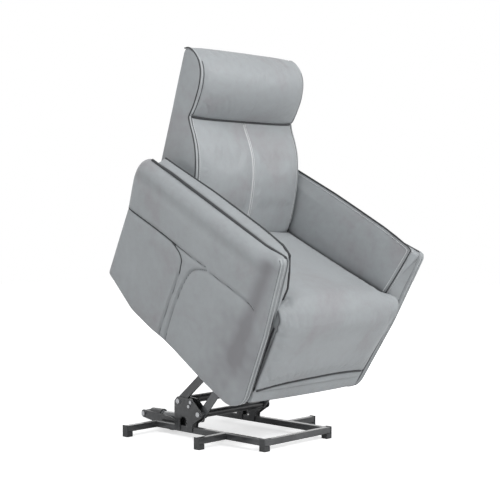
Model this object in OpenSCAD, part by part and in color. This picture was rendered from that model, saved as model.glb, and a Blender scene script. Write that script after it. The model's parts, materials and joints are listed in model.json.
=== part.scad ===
// Power lift recliner: an upholstered chair on a four-bar lift base, drawn in its raised, forward-tilted pose.
// Millimetres, +Z up, the sitter faces -Y and +X is the sitter's left. The origin is on the floor, on the
// plane of symmetry, under the middle of the raised chair. Base sizes are measured back from the front face
// of the front bar. Chair sizes are measured in the chair's own frame: back and up from the lower front edge of
// the arm panels, as the chair stands when it is lowered and level.

/* [Base frame] */
// Side of the square steel tube
tube = 25; // [25:1:28]
// Wall of the square tube
tube_wall = 2; // [1.5:0.5:3]
// Height of the feet under the tubes
foot_h = 20; // [16:1:24]
// Width over the two side rails
rail_span = 387; // [380:1:400]
// Depth of the base, front bar to rear outriggers
base_depth = 629; // [600:1:680]
// Centre line of the middle outriggers behind the front of the base
mid_outrigger_at = 220; // [190:1:250]
// Reach of the middle outriggers from the centre line
mid_reach = 337; // [300:1:350]
// Reach of the rear outriggers from the centre line
rear_reach = 353; // [310:1:370]

/* [Lift linkage] */
// Rear ground pivot behind the front of the base
rear_pivot_at = 470; // [460:1:480]
// Height of the rear ground pivot
rear_pivot_h = 143; // [138:1:146]
// Front ground pivot behind the front of the base
front_pivot_at = 355; // [345:1:362]
// Height of the front ground pivot
front_pivot_h = 101; // [97:1:105]
// Height of the rear link's upper pivot in the chair
rear_link_seat_h = 45; // [42:1:50]
// Height of the front link's upper pivot in the chair
front_link_seat_h = 20; // [18:1:24]
// Width of a lift link
link_w = 35; // [30:1:36]
// Thickness of a lift link
link_t = 8; // [6:0.5:8]
// Thickness of the bracket plates on the base
bracket_t = 4; // [3:0.5:6]
// Thickness of the mechanism plates under the chair
chair_plate_t = 5; // [4:0.5:5]
// Diameter of the rear torque tube
torque_tube_d = 34; // [28:1:36]
// Diameter of the front cross tube
cross_tube_d = 30; // [24:1:32]
// Radius of the crank that the lift actuator pushes
crank_r = 90; // [84:1:94]
// Lean of the crank ahead of straight down when the chair is raised
crank_lean = 30; // [27:1:33]

/* [Posture] */
// Forward tilt of the raised chair
lift_tilt = 31.4; // [30:0.2:32]
// Place of the raised chair's front, from the front of the base
raised_front_at = -28; // [-36:1:-20]
// Height of the chair's lower front edge when raised
raised_h = 204; // [198:1:212]
// Place of the lowered chair's front, from the front of the base
lowered_front_at = -180; // [-190:1:-170]
// Height of the chair's lower edge when lowered
lowered_h = 104; // [102:1:112]

/* [Lift actuator] */
// Distance of the actuator from the centre line, towards the sitter's right
actuator_offset = 125; // [110:1:130]
// Tail pivot behind the front of the base
tail_at = 728; // [715:1:740]
// Height of the tail pivot
tail_h = 58; // [54:1:62]
// Radius of the actuator motor
motor_r = 23; // [19:1:24]
// Radius of the actuator rod
rod_r = 9; // [7:1:10]

/* [Arms] */
// How far the arm panel reaches behind the seat
arm_past_seat = 256; // [236:1:280]
// How far the arm panel reaches below the chair's lower front edge
arm_drop = 52; // [44:1:54]
// Height of the arm panel at its front
arm_front_h = 604; // [590:1:615]
// Height of the arm panel at its rear
arm_rear_h = 536; // [520:1:550]
// Setback of the arm panel's top behind its lower front edge
arm_setback = 54; // [40:1:65]
// Thickness of the arm panel
arm_t = 46; // [42:1:50]
// How far the panel's outer face stands outside the seat, along its lower edge
arm_outside = 50; // [47:1:58]
// Outward lean of the arm panel
arm_splay = 7.78; // [6:0.1:9]
// Width between the arm pads at seat level
between_pads = 604; // [580:1:620]
// How much wider apart the arm pads are at their top
pad_spread = 92; // [76:1:100]
// Height of the arm pad at its front
pad_front_h = 610; // [600:1:616]
// Height of the arm pad at its rear
pad_rear_h = 568; // [556:1:576]

/* [Seat] */
// Height of the seat at its front edge
seat_front_h = 404; // [398:1:412]
// Height of the seat at the back cushion
seat_rear_h = 345; // [338:1:352]
// Depth of the seat at the back cushion
seat_depth = 616; // [600:1:617]
// Height of the seat cushion's underside
seat_under_h = 241; // [239:1:246]
// Crown of the seat across its width
seat_crown = 14; // [5:1:20]
// Height of the seat rails' lower edge
seat_rail_h = 115; // [114:1:118]

/* [Leg rest] */
// Setback of the leg rest's hinge behind the front of the chair
legrest_pivot_at = 60; // [56:1:64]
// Depth of the leg rest's hinge below the seat's front edge
legrest_hinge_drop = 63; // [63:1:66]
// Radius of the padded roll over the hinge
roll_r = 62; // [58:1:64]
// Height of the leg rest's lower edge
legrest_low_h = 66; // [64:1:80]

/* [Back] */
// Radius of the lumbar cushion's lower roll, which turns about the recline pivot
lumbar_r = 112; // [106:1:116]
// Height of the recline pivot
back_pivot_h = 345; // [338:1:350]
// Lean of the back's rear face
back_lean = 13.33; // [11:0.1:15]
// Thickness of the back at its foot
back_t = 232; // [228:1:236]
// Height of the crease under the headrest
crease_h = 740; // [725:1:755]
// Height of the back's top
back_top_h = 960; // [945:1:975]
// Room between the back and each arm pad
back_gap = 12; // [11:1:16]
// Crown of the back cushion across its width
back_crown = 16; // [5:1:24]

/* [Hidden] */
$fn = 48;
soft_fn = 32;
steel_black = "#2c2e30";
steel_grey = "#6b6f73";
zinc = "#b9bdc0";
plastic_black = "#1d1e20";
hide_grey = "#969b9e";
ply = "#b8976a";
web_black = "#26272a";
eps = 0.01;
tuck = 0.97;         // where a plate's straight edge runs into its round end, as a share of that radius

// Fits and gaps
run_gap = 0.05;      // radial clearance of a pin or tube that turns in its bore
soft_gap = 0.3;      // room left round an upholstered solid
layer_gap = 0.5;     // side room between plates that swing past each other
hinge_layer = 1.2;   // side room between a hinge plate and the arm that swings on it
bolt_r = 6;
chair_pin_r = 7;
hinge_pin_r = 8;
bolt_head_h = 7;
pin_head_h = 3;
open_slot_play = 1.2;   // side room of the pin in the front link's slot
open_slot_travel = 4.6; // way that the front link's pin drifts in its slot at mid lift
crank_slot_play = 1;    // side room of a rod pin in its slotted crank
crank_slot_travel = 7.6; // way that a rod pin drifts towards the crank's axis at mid stroke

// Base, from the front of the front bar
origin_at = 230;
rail_x = rail_span / 2 - tube / 2;
rail_top = foot_h + tube;
channel_in = rail_x - tube / 2;
channel_out = rail_x + tube / 2;
side_room = (tube - 2 * link_t - chair_plate_t - 2 * layer_gap) / 2;
front_link_x = channel_in + side_room;
chair_plate_x = front_link_x + link_t + layer_gap;
rear_link_x = chair_plate_x + chair_plate_t + layer_gap;
rear_pivot = [rear_pivot_at, rear_pivot_h];
front_pivot = [front_pivot_at, front_pivot_h];
weld_lap = 20;        // how far the bracket plates reach down the sides of a rail
boss_r = 19;

// Upper pivots of the lift links, in the chair's frame. Each lies where the ground pivot is as far away
// from it in the raised chair as in the lowered one.
raised_origin = [raised_front_at, raised_h];
lowered_origin = [lowered_front_at, lowered_h];
function turned(p, a) = [p[0] * cos(a) - p[1] * sin(a), p[0] * sin(a) + p[1] * cos(a)];
function seen_raised(p) = turned(p - raised_origin, -lift_tilt);
function seen_lowered(p) = p - lowered_origin;
function upper_pivot(ground, h) =
    let (a = seen_raised(ground), b = seen_lowered(ground), m = (a + b) / 2, n = b - a,
         k = (h - m[1]) / n[0])
    [m[0] - k * n[1], h];
rear_upper = upper_pivot(rear_pivot, rear_link_seat_h);
front_upper = upper_pivot(front_pivot, front_link_seat_h);
function raised(p) = raised_origin + turned(p, lift_tilt);

// Lift actuator, from its tail pivot to the pin in the crank
tail = [tail_at, tail_h];
crank_pin = rear_pivot + crank_r * [-sin(crank_lean), -cos(crank_lean)];
crank_t = 5;
eye_w = 22;
eye_r = 14;
crank_in = eye_w / 2 + 1;
motor_from = 16;
lift_motor_len = 74;
lift_stroke = 76;
mount_in = motor_r + 3;
mount_t = 5;
mount_arm_at = 545;
mount_drop = 8;       // how far the mount's arm lies below the rails, clear of the swinging actuator

// Chair frame
seat_rail_w = 25;
seat_rail_t = 35;
cross_h = seat_rail_h + seat_rail_t;
cross_tube = 25;
frame_low = cross_h + cross_tube;
frame_t = 22;
web_t = 2.5;
frame_top = seat_under_h - web_t - soft_gap;
back_w = between_pads - 2 * back_gap;
plate_t = 4;
plate_ahead = 70;     // how far a mechanism plate reaches ahead of its front pivot
plate_behind = 80;    // how far it reaches behind its rear pivot
rail_past_pivot = 70; // how far the seat rails reach behind the recline pivot
hinge_half = back_w / 2 + soft_gap;
hinge_plate_x = hinge_half + plate_t + hinge_layer;
frame_half = hinge_plate_x;
frame_front = 84;
frame_rear = seat_depth - 4;
cross_at = [150, 384, seat_depth - 56];
arm_bracket_at = [150, seat_depth - 176];
arm_bracket_w = 60;
arm_foot = between_pads / 2 + arm_outside;
arm_depth = seat_depth + arm_past_seat;
function arm_inner(z) = arm_foot + z * tan(arm_splay) - arm_t / cos(arm_splay);

// Arm panel outline, back and up in the plane of the panel, with the radius of each corner
arm_outline = [
    [-3, -arm_drop], [arm_depth * 0.62, -arm_drop], [arm_depth, -8],
    [arm_depth + 14, arm_rear_h], [arm_setback, arm_front_h], [17, 300]
];
arm_corner_r = [64, 220, 26, 58, 34, 60];
arm_edge_r = 18;
arm_board_t = 12;
arm_board_inset = 34;
pad_front_at = 72;
pad_rear_at = arm_depth - 36;
pad_low_h = 246;

// Back, in its own frame: up the rear face from its foot, and out behind it
back_pivot_at = seat_depth + 2 + lumbar_r;
back_foot_at = seat_depth + back_t;
rear_panel_t = 16;
back_frame_t = 24;
back_layers = rear_panel_t + back_frame_t + soft_gap;
back_frame_w = 50;
back_frame_low = -30;
back_frame_high = 588;
back_crank_r = 130;
back_crank_lean = 15;
back_pivot = [back_pivot_at, back_pivot_h];
back_crank_pin = back_pivot + back_crank_r * [sin(back_crank_lean), -cos(back_crank_lean)];
back_tail = [cross_at[1] + cross_tube / 2, cross_h + cross_tube + 24];
back_motor_r = 20;
back_motor_len = 74;
back_stroke = 88;
roll_gap = 1;

legrest_pivot_h = seat_front_h - legrest_hinge_drop;
legrest_pivot = [legrest_pivot_at, legrest_pivot_h];
legrest_board_t = 12;
wing_gap = 1.5;       // between the leg rest's wide front and the arm panels, and beside the hinge plates
wing_in = frame_half + plate_t + wing_gap;
legrest_back_at = legrest_pivot_at - 2;
seam_h = legrest_low_h - 6;
low_panel_t = 18;
rear_panel_low_h = 36;  // clear of the actuator's motor when the chair is down

// ---------- frames and shared shapes ----------

module on_base() {
    translate([0, -origin_at, 0]) children();
}

module on_chair() {
    on_base() translate([0, raised_origin[0], raised_origin[1]]) rotate([lift_tilt, 0, 0]) children();
}

module on_back_face() {
    translate([0, back_foot_at, seat_rear_h - 15]) rotate([-back_lean, 0, 0]) children();
}

module on_back() {
    on_chair() on_back_face() children();
}

module both_sides() {
    children();
    mirror([1, 0, 0]) children();
}

module on_side(side) {
    if (side > 0) children();
    else mirror([1, 0, 0]) children();
}

// A flat plate in the Y-Z plane, from x to x + t
module side_plate(x, t) {
    translate([x, 0, 0]) rotate([90, 0, 90]) linear_extrude(t) children();
}

module rod_x(p, r, x0, x1) {
    translate([x0, p[0], p[1]]) rotate([0, 90, 0]) cylinder(r = r, h = x1 - x0);
}

module hex_head_x(p, af, x0, h) {
    translate([x0, p[0], p[1]]) rotate([0, 90, 0]) cylinder(d = af / cos(30), h = h, $fn = 6);
}

module square_tube(len) {
    r = 3;
    linear_extrude(len) difference() {
        union() {
            square([tube, tube - 2 * r], center = true);
            square([tube - 2 * r, tube], center = true);
            for (sx = [-1, 1], sy = [-1, 1]) translate([sx, sy] * (tube / 2 - r)) circle(r);
        }
        square(tube - 2 * tube_wall, center = true);
    }
}

module tube_y(x, y0, y1) {
    translate([x, y0, foot_h + tube / 2]) rotate([-90, 0, 0]) square_tube(y1 - y0);
}

module tube_x(x0, x1, y) {
    translate([x0, y, foot_h + tube / 2]) rotate([0, 90, 0]) square_tube(x1 - x0);
}

module bar_2d(a, b, w) {
    d = b - a;
    for (p = [a, b]) translate(p) circle(d = w);
    translate(a) rotate(atan2(d[1], d[0])) translate([0, -tuck * w / 2]) square([norm(d), tuck * w]);
}

// Centre of a corner of radius r in a closed outline
function unit(v) = v / norm(v);
function corner_centre(points, i, r) =
    let (n = len(points), here = points[i],
         u = unit(points[(i + n - 1) % n] - here), v = unit(points[(i + 1) % n] - here), w = unit(u + v))
    here + w * r / sin(acos(u * w));

// A padded slab in the Y-Z plane: each corner is a disc with a rounded edge
module padded_slab(points, radii, t, edge) {
    hull() for (i = [0:len(points) - 1]) {
        c = corner_centre(points, i, radii[i]);
        translate([0, c[0], c[1]]) rotate([0, 90, 0]) for (a = [0, 45, 90])
            cylinder(r = radii[i] - edge * (1 - cos(a)), h = t - 2 * edge * (1 - sin(a)), center = true,
                     $fn = soft_fn);
    }
}

// ---------- base ----------

module side_rail(side) {
    color(steel_black) on_base() tube_y(side * rail_x, tube, base_depth);
}

module front_bar() {
    color(steel_black) on_base() tube_x(-rail_span / 2, rail_span / 2, tube / 2);
}

module outriggers(y, reach) {
    color(steel_black) on_base() both_sides() tube_x(rail_span / 2, reach, y);
}

module foot(at_end) {
    pad = tube + 4;
    lip = 3;
    plug = 12;
    translate([-pad / 2, -pad / 2, 0]) cube([pad, pad, foot_h]);
    if (at_end) {
        translate([pad / 2 - lip, -pad / 2, foot_h - eps]) cube([lip, pad, tube + 2]);
        translate([pad / 2 - lip - plug, 0, foot_h + tube / 2]) rotate([0, 90, 0])
            translate([0, 0, plug / 2]) cube([tube - 2 * tube_wall, tube - 2 * tube_wall, plug + eps], center = true);
    }
}

module feet() {
    lip = 3;
    half = (tube + 4) / 2;
    color(plastic_black) on_base() both_sides() {
        translate([mid_reach - half + lip, mid_outrigger_at, 0]) foot(true);
        translate([rear_reach - half + lip, base_depth - tube / 2, 0]) foot(true);
        translate([rail_span / 2 - half + lip, tube / 2, 0]) foot(true);
    }
}

// Outline of a lift bracket: a rear leg, an arch and a front leg that runs up to the front pivot
module bracket_2d() {
    low = rail_top - weld_lap;
    arch_r = 21;
    arch_at = rear_pivot_at - 26;
    rear_edge = rear_pivot_at + link_w / 2 + 8;
    difference() {
        union() {
            translate(rear_pivot) circle(boss_r);
            translate(front_pivot) circle(boss_r);
            polygon([
                [rear_edge, low], [rear_edge, rear_pivot_h], rear_pivot + boss_r * tuck * [cos(48), sin(48)],
                rear_pivot + [0, boss_r * tuck], [front_pivot_at + 38, rear_pivot_h + boss_r - 4],
                front_pivot + boss_r * tuck * [cos(143), sin(143)],
                front_pivot + boss_r * tuck * [cos(258), sin(258)],
                [front_pivot_at + 34, rail_top + 12], [front_pivot_at + 40, low]
            ]);
        }
        translate([arch_at, rail_top + 16]) circle(arch_r);
        translate([arch_at - arch_r * tuck, low - 1]) square([2 * arch_r * tuck, rail_top + 17 - low]);
    }
}

module lift_bracket(side) {
    web = 4;
    web_at = rear_pivot_at + link_w / 2 + 8 - web;
    color(steel_black) on_base() on_side(side) difference() {
        union() {
            side_plate(channel_in - bracket_t, bracket_t) bracket_2d();
            side_plate(channel_out, bracket_t) bracket_2d();
            translate([channel_in, web_at, rail_top]) cube([tube, web, rear_pivot_h - rail_top - 10]);
        }
        rod_x(rear_pivot, torque_tube_d / 2 + run_gap, 0, channel_in + 1);
        rod_x(front_pivot, cross_tube_d / 2 + run_gap, 0, channel_in + 1);
        for (p = [rear_pivot, front_pivot]) rod_x(p, bolt_r + run_gap, channel_out - 1, rail_span);
    }
}

// Bolts that the two link shafts turn on, and the small clamp bolts in the gusset
module pivot_bolts() {
    clamp_r = 4;
    grip = 40;
    out = channel_out + bracket_t;
    color(zinc) on_base() both_sides() {
        for (p = [rear_pivot, front_pivot]) {
            rod_x(p, bolt_r, out - grip, out);
            hex_head_x(p, 19, out, bolt_head_h);
        }
        for (p = [[front_pivot_at + 44, rear_pivot_h + 2], [front_pivot_at + 55, rear_pivot_h - 16]])
            hex_head_x(p, 2 * clamp_r + 5, out, 5);
    }
}

module front_link_spacers() {
    from = front_link_x + link_t + 0.2;
    color(zinc) on_base() both_sides() difference() {
        rod_x(front_pivot, bolt_r + 2.5, from, channel_out);
        rod_x(front_pivot, bolt_r + run_gap, from - 1, channel_out + 1);
    }
}

// Arm off the right-hand rail, with two cheeks that carry the actuator's tail
module motor_mount() {
    arm_in = -actuator_offset + mount_in + mount_t;
    arm_low = foot_h - mount_drop;
    cheek = [
        [mount_arm_at - tube / 2, arm_low + 4], [mount_arm_at + tube / 2 + 10, arm_low + 4],
        [tail_at, tail_h - 16], [tail_at, tail_h + 16],
        [mount_arm_at + tube, tail_h + 6], [mount_arm_at - tube / 2, rail_top + 8]
    ];
    color(steel_black) on_base() {
        for (x = [-actuator_offset - mount_in - mount_t, -actuator_offset + mount_in]) difference() {
            side_plate(x, mount_t) union() {
                polygon(cheek);
                translate(tail) circle(16);
            }
            rod_x(tail, bolt_r + run_gap, x - 1, x + mount_t + 1);
            translate([x - 1, mount_arm_at - tube / 2 - 1, arm_low - 1]) cube([mount_t + 2, tube + 1, tube + 1]);
        }
        translate([0, 0, -mount_drop]) tube_x(-channel_in, arm_in, mount_arm_at);
    }
}

module tail_pin(p, half) {
    rod_x(p, bolt_r, -half - 0.2, half + 0.2);
    hex_head_x(p, 18, half + 0.2, bolt_head_h - 1);
    hex_head_x(p, 18, -half - 0.2 - bolt_head_h + 1, bolt_head_h - 1);
}

module motor_tail_pin() {
    color(zinc) on_base() translate([-actuator_offset, 0, 0]) tail_pin(tail, mount_in + mount_t);
}

// ---------- lift links ----------

module rear_lift_links() {
    color(steel_black) on_base() both_sides() difference() {
        side_plate(rear_link_x, link_t) bar_2d(rear_pivot, raised(rear_upper), link_w);
        rod_x(rear_pivot, bolt_r + run_gap, rear_link_x - 1, rear_link_x + link_t + 1);
        rod_x(raised(rear_upper), chair_pin_r + run_gap, rear_link_x - 1, rear_link_x + link_t + 1);
    }
}

// Outline of a crank: a tapered arm from its shaft to a slotted end
module crank_2d(shaft, pin, root_w, slot) {
    along = unit(pin - shaft);
    difference() {
        union() {
            translate(pin) circle(eye_r);
            translate(shaft) rotate(atan2(along[1], along[0]))
                polygon([
                    [0, -root_w / 2], [norm(pin - shaft), -eye_r * tuck],
                    [norm(pin - shaft), eye_r * tuck], [0, root_w / 2]
                ]);
        }
        bar_2d(pin + 0.4 * along, pin - slot * along, 2 * (bolt_r + crank_slot_play));
    }
}

// Shaft between the rear links, with the twin slotted crank that the actuator pushes
module torque_tube() {
    bore_r = torque_tube_d / 2 - 4;
    color(steel_black) on_base() {
        difference() {
            rod_x(rear_pivot, torque_tube_d / 2, -rear_link_x, rear_link_x);
            rod_x(rear_pivot, bore_r, -rear_link_x + 30, rear_link_x - 30);
            rod_x(rear_pivot, bolt_r + run_gap, -rear_link_x - 1, rear_link_x + 1);
        }
        for (x = [-crank_in - crank_t, crank_in]) difference() {
            side_plate(x - actuator_offset, crank_t)
                crank_2d(rear_pivot, crank_pin, torque_tube_d + 10, crank_slot_travel);
            rod_x(rear_pivot, torque_tube_d / 2 - 1, x - actuator_offset - 1, x - actuator_offset + crank_t + 1);
        }
    }
}

module front_lift_links() {
    color(steel_grey) on_base() both_sides() {
        difference() {
            side_plate(front_link_x, link_t) bar_2d(front_pivot, raised(front_upper), link_w);
            rod_x(front_pivot, bolt_r + run_gap, front_link_x - 1, front_link_x + link_t + 1);
        }
        rod_x(raised(front_upper), bolt_r, front_link_x + link_t, rear_link_x);
        rod_x(raised(front_upper), bolt_r + 4, rear_link_x, rear_link_x + pin_head_h);
    }
}

module front_cross_tube() {
    color(steel_black) on_base() difference() {
        rod_x(front_pivot, cross_tube_d / 2, -front_link_x, front_link_x);
        rod_x(front_pivot, cross_tube_d / 2 - 3, -front_link_x + 20, front_link_x - 20);
        rod_x(front_pivot, bolt_r + run_gap, -front_link_x - 1, front_link_x + 1);
    }
}

// ---------- actuators, drawn along +Y from the tail pivot ----------

module aimed(from, to) {
    d = to - from;
    translate([0, from[0], from[1]]) rotate([atan2(d[1], d[0]), 0, 0]) children();
}

module ring_y(r, y0, y1) {
    translate([0, y0, 0]) rotate([-90, 0, 0]) cylinder(r = r, h = y1 - y0);
}

module actuator_motor(r, len) {
    difference() {
        union() {
            ring_y(r, motor_from + 6, motor_from + len);
            ring_y(r - 5, motor_from, motor_from + 6);
            rod_x([0, 0], eye_r, -eye_w / 2, eye_w / 2);
            translate([-eye_w / 2, 0, -eye_r * 0.8]) cube([eye_w, motor_from, eye_r * 1.6]);
        }
        rod_x([0, 0], bolt_r + run_gap, -eye_w, eye_w);
    }
}

module actuator_tube(from, to) {
    difference() {
        union() {
            ring_y(rod_r + 7, from, to);
            ring_y(rod_r + 10, from, from + 8);
            ring_y(rod_r + 9, to - 12, to);
        }
        ring_y(rod_r + run_gap, from + 4, to + 1);
    }
}

module actuator_rod(from, to) {
    difference() {
        union() {
            ring_y(rod_r, from, to - eye_r / 2);
            rod_x([to, 0], eye_r - 1, -eye_w / 2, eye_w / 2);
        }
        rod_x([to, 0], bolt_r - 0.5, -eye_w, eye_w);
    }
    rod_x([to, 0], bolt_r, -crank_in - crank_t - 1, crank_in + crank_t + 1);
}

lift_reach = norm(crank_pin - tail);
lift_tube_to = lift_reach - lift_stroke - eye_r - 4;
lift_rod_from = motor_from + lift_motor_len + lift_stroke + 6;

module on_lift_actuator() {
    on_base() translate([-actuator_offset, 0, 0]) aimed(tail, crank_pin) children();
}

module lift_motor() {
    color(plastic_black) on_lift_actuator() actuator_motor(motor_r, lift_motor_len);
}

module lift_actuator_tube() {
    color(steel_grey) on_lift_actuator() actuator_tube(motor_from + lift_motor_len, lift_tube_to);
}

module lift_rod() {
    color(zinc) on_lift_actuator() actuator_rod(lift_rod_from, lift_reach);
}

back_reach = norm(back_crank_pin - back_tail);
back_tube_to = back_reach - back_stroke - eye_r - 4;
back_rod_from = motor_from + back_motor_len + back_stroke + 6;

module on_back_actuator() {
    on_chair() aimed(back_tail, back_crank_pin) children();
}

module back_motor() {
    color(plastic_black) on_back_actuator() actuator_motor(back_motor_r, back_motor_len);
}

module back_actuator_tube() {
    color(steel_grey) on_back_actuator() actuator_tube(motor_from + back_motor_len, back_tube_to);
}

module back_rod() {
    color(zinc) on_back_actuator() actuator_rod(back_rod_from, back_reach);
}

// ---------- chair frame ----------

// Plate under each seat rail: a bore for the rear link and a slot for the front link's pin
module mechanism_plate(side) {
    rim = link_w / 2 - 1;
    slot_end = front_upper + [open_slot_travel * 0.36, open_slot_travel];
    color(steel_black) on_chair() on_side(side) side_plate(chair_plate_x, chair_plate_t) difference() {
        union() {
            translate(rear_upper) circle(rim + 3);
            translate(front_upper) circle(rim);
            polygon([
                front_upper + [-rim * tuck, 0], front_upper + [0, -rim * tuck], rear_upper + [8, -rim + 2],
                rear_upper + [rim, 0], [rear_upper[0] + plate_behind, seat_rail_h],
                [rear_upper[0] + plate_behind, cross_h], [front_upper[0] - plate_ahead, cross_h],
                [front_upper[0] - plate_ahead, seat_rail_h]
            ]);
        }
        translate(rear_upper) circle(chair_pin_r);
        bar_2d(front_upper, slot_end, 2 * (bolt_r + open_slot_play));
    }
}

module chair_pivot_pins() {
    color(zinc) on_chair() both_sides() {
        rod_x(rear_upper, chair_pin_r, chair_plate_x, rear_link_x + link_t + 0.4);
        rod_x(rear_upper, chair_pin_r + 4, rear_link_x + link_t + 0.4, rear_link_x + link_t + 0.4 + pin_head_h);
    }
}

module seat_rails() {
    from = frame_front + 6;
    to = back_pivot_at + rail_past_pivot;
    x = chair_plate_x + chair_plate_t;
    color(steel_black) on_chair() both_sides() translate([x, from, seat_rail_h]) difference() {
        cube([seat_rail_w, to - from, seat_rail_t]);
        translate([2.5, -1, 2.5]) cube([seat_rail_w, to - from + 2, seat_rail_t - 5]);
    }
}

module seat_cross_tubes() {
    color(steel_black) on_chair() for (y = cross_at)
        translate([-frame_half, y, cross_h]) difference() {
            cube([2 * frame_half, cross_tube, cross_tube]);
            translate([-1, 2, 2]) cube([2 * frame_half + 2, cross_tube - 4, cross_tube - 4]);
        }
}

// Timber box that carries the webbing and the cushion: side boards, and end boards between them
module seat_frame_sides() {
    color(ply) on_chair() both_sides() translate([frame_half - frame_t, frame_front, frame_low])
        cube([frame_t, frame_rear - frame_front, frame_top - frame_low]);
}

// The rear board is notched for the back's actuator
module seat_frame_ends() {
    half = frame_half - frame_t;
    high = frame_top - frame_low;
    pass_r = rod_r + 11;
    pass_from = frame_rear - frame_t;
    slope = (back_crank_pin[1] - back_tail[1]) / (back_crank_pin[0] - back_tail[0]);
    pass_low = back_tail[1] + (pass_from - back_tail[0]) * slope - pass_r;
    color(ply) on_chair() difference() {
        for (y = [frame_front, pass_from]) translate([-half, y, frame_low]) cube([2 * half, frame_t, high]);
        translate([-pass_r, pass_from - 1, pass_low]) cube([2 * pass_r, frame_t + 2, high]);
    }
}

module seat_webbing() {
    strip_w = 52;
    count = 6;
    pitch = 2 * (frame_half - frame_t - 10) / count;
    color(web_black) on_chair() for (i = [0:count - 1])
        translate([(i - (count - 1) / 2) * pitch - strip_w / 2, frame_front + 3, frame_top])
            cube([strip_w, frame_rear - frame_front - 6, web_t]);
}

module seat_profile(rise) {
    front = frame_front - 2;
    polygon([
        [front, seat_under_h], [front, seat_front_h - 8], [legrest_pivot_at + 4, seat_front_h + rise],
        [seat_depth - 8, seat_rear_h + 1 + rise], [seat_depth, seat_rear_h - 8], [seat_depth, seat_under_h]
    ]);
}

// Crowned cushion, hollowed at the front to run over the leg rest's roll
module seat_cushion() {
    half = between_pads / 2 - 1;
    color(hide_grey) on_chair() difference() {
        hull() {
            side_plate(-half, 2 * half) seat_profile(0);
            side_plate(-half * 0.55, half * 1.1) seat_profile(seat_crown);
        }
        rod_x(legrest_pivot, roll_r + roll_gap, -half - 1, half + 1);
        translate([-half - 1, 0, 0]) cube([2 * half + 2, legrest_pivot_at + 2, seat_front_h - 20]);
    }
}

// Steel plates on the sides of the timber frame that carry the leg rest and the back
module hinge_plates() {
    front_ear = 18;
    rear_ear = 24;
    color(steel_black) on_chair() both_sides() side_plate(hinge_plate_x, plate_t) difference() {
        union() {
            translate(legrest_pivot) circle(front_ear);
            translate(back_pivot) circle(rear_ear);
            polygon([
                legrest_pivot + [-front_ear * tuck, 0], [frame_front + 6, frame_low + 2],
                [frame_front + 60, frame_low + 2], [frame_front + 60, frame_top], [frame_front - 5, frame_top],
                legrest_pivot + [front_ear * tuck, -40], legrest_pivot + [front_ear * tuck, 0]
            ]);
            polygon([
                [frame_rear - 70, frame_low + 2], [frame_rear + 74, frame_low + 2],
                back_pivot + [rear_ear * tuck, 0], back_pivot + [-rear_ear * tuck, 0],
                [frame_rear + 12, frame_top], [frame_rear - 70, frame_top]
            ]);
        }
        translate(legrest_pivot) circle(hinge_pin_r);
        translate(back_pivot) circle(hinge_pin_r);
    }
}

module hinge_pins(p) {
    in = back_w / 2 + soft_gap;
    color(zinc) on_chair() both_sides() rod_x(p, hinge_pin_r, in, hinge_plate_x + plate_t);
}

module arm_placed(side) {
    on_chair() on_side(side) translate([arm_foot, 0, 0]) rotate([0, arm_splay, 0]) children();
}

module arm_panel(side) {
    color(hide_grey) arm_placed(side) difference() {
        translate([-arm_t / 2, 0, 0]) padded_slab(arm_outline, arm_corner_r, arm_t, arm_edge_r);
        arm_board_solid(0.2);
    }
}

module arm_board_solid(grow) {
    inset = arm_board_inset - grow;
    points = [for (i = [0:len(arm_outline) - 1]) corner_centre(arm_outline, i, inset)];
    translate([-arm_t - grow, 0, 0]) rotate([90, 0, 90]) linear_extrude(arm_board_t + 2 * grow) polygon(points);
}

module arm_board(side) {
    color(ply) arm_placed(side) arm_board_solid(0);
}

// Cross-section of the inner arm pad, with its top at h
module pad_section(h, shrink) {
    seat_x = between_pads / 2;
    top_x = (between_pads + pad_spread) / 2;
    out = soft_gap;
    low = pad_low_h + shrink;
    gap_h = h - 34;
    polygon([
        [seat_x + shrink * 0.6, low], [arm_inner(low) - out, low], [arm_inner(gap_h - shrink) - out, gap_h - shrink],
        [arm_inner(h) - 14, h - 6 - shrink], [top_x + 8, h - shrink], [top_x + shrink * 0.3, h - 14 - shrink],
        [seat_x + shrink * 0.6, seat_rear_h]
    ]);
}

module pad_slice(y, h, shrink) {
    translate([0, y + eps, 0]) rotate([90, 0, 0]) linear_extrude(eps) pad_section(h, shrink);
}

// Its lower front corner is hollowed for the leg rest's roll
module arm_pad(side) {
    round_off = 26;
    color(hide_grey) on_chair() on_side(side) difference() {
        hull() {
            pad_slice(pad_front_at, pad_front_h - 4, round_off);
            pad_slice(pad_front_at + 8, pad_front_h - 2, round_off / 3);
            pad_slice(pad_front_at + round_off, pad_front_h, 0);
            pad_slice(pad_rear_at - round_off, pad_rear_h, 0);
            pad_slice(pad_rear_at, pad_rear_h - 3, round_off / 2);
        }
        rod_x(legrest_pivot, roll_r + roll_gap, between_pads / 2 - 1, arm_inner(pad_front_h));
        translate([between_pads / 2 - 1, 0, pad_low_h - 1])
            cube([arm_t * 2, legrest_pivot_at + roll_r, legrest_pivot_h - pad_low_h + 1]);
    }
}

// Steel brackets between the timber frame and the arm boards
module arm_brackets() {
    low = frame_low + 2;
    high = frame_top - 2;
    color(steel_black) on_chair() both_sides() for (y = arm_bracket_at)
        translate([0, y + arm_bracket_w, 0]) rotate([90, 0, 0]) linear_extrude(arm_bracket_w) difference() {
            polygon([[frame_half, low], [arm_inner(low), low], [arm_inner(high), high], [frame_half, high]]);
            polygon([
                [frame_half + 4, low + 5], [arm_inner(low) - 4, low + 5],
                [arm_inner(high) - 4, high + 1], [frame_half + 4, high + 1]
            ]);
        }
}

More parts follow.
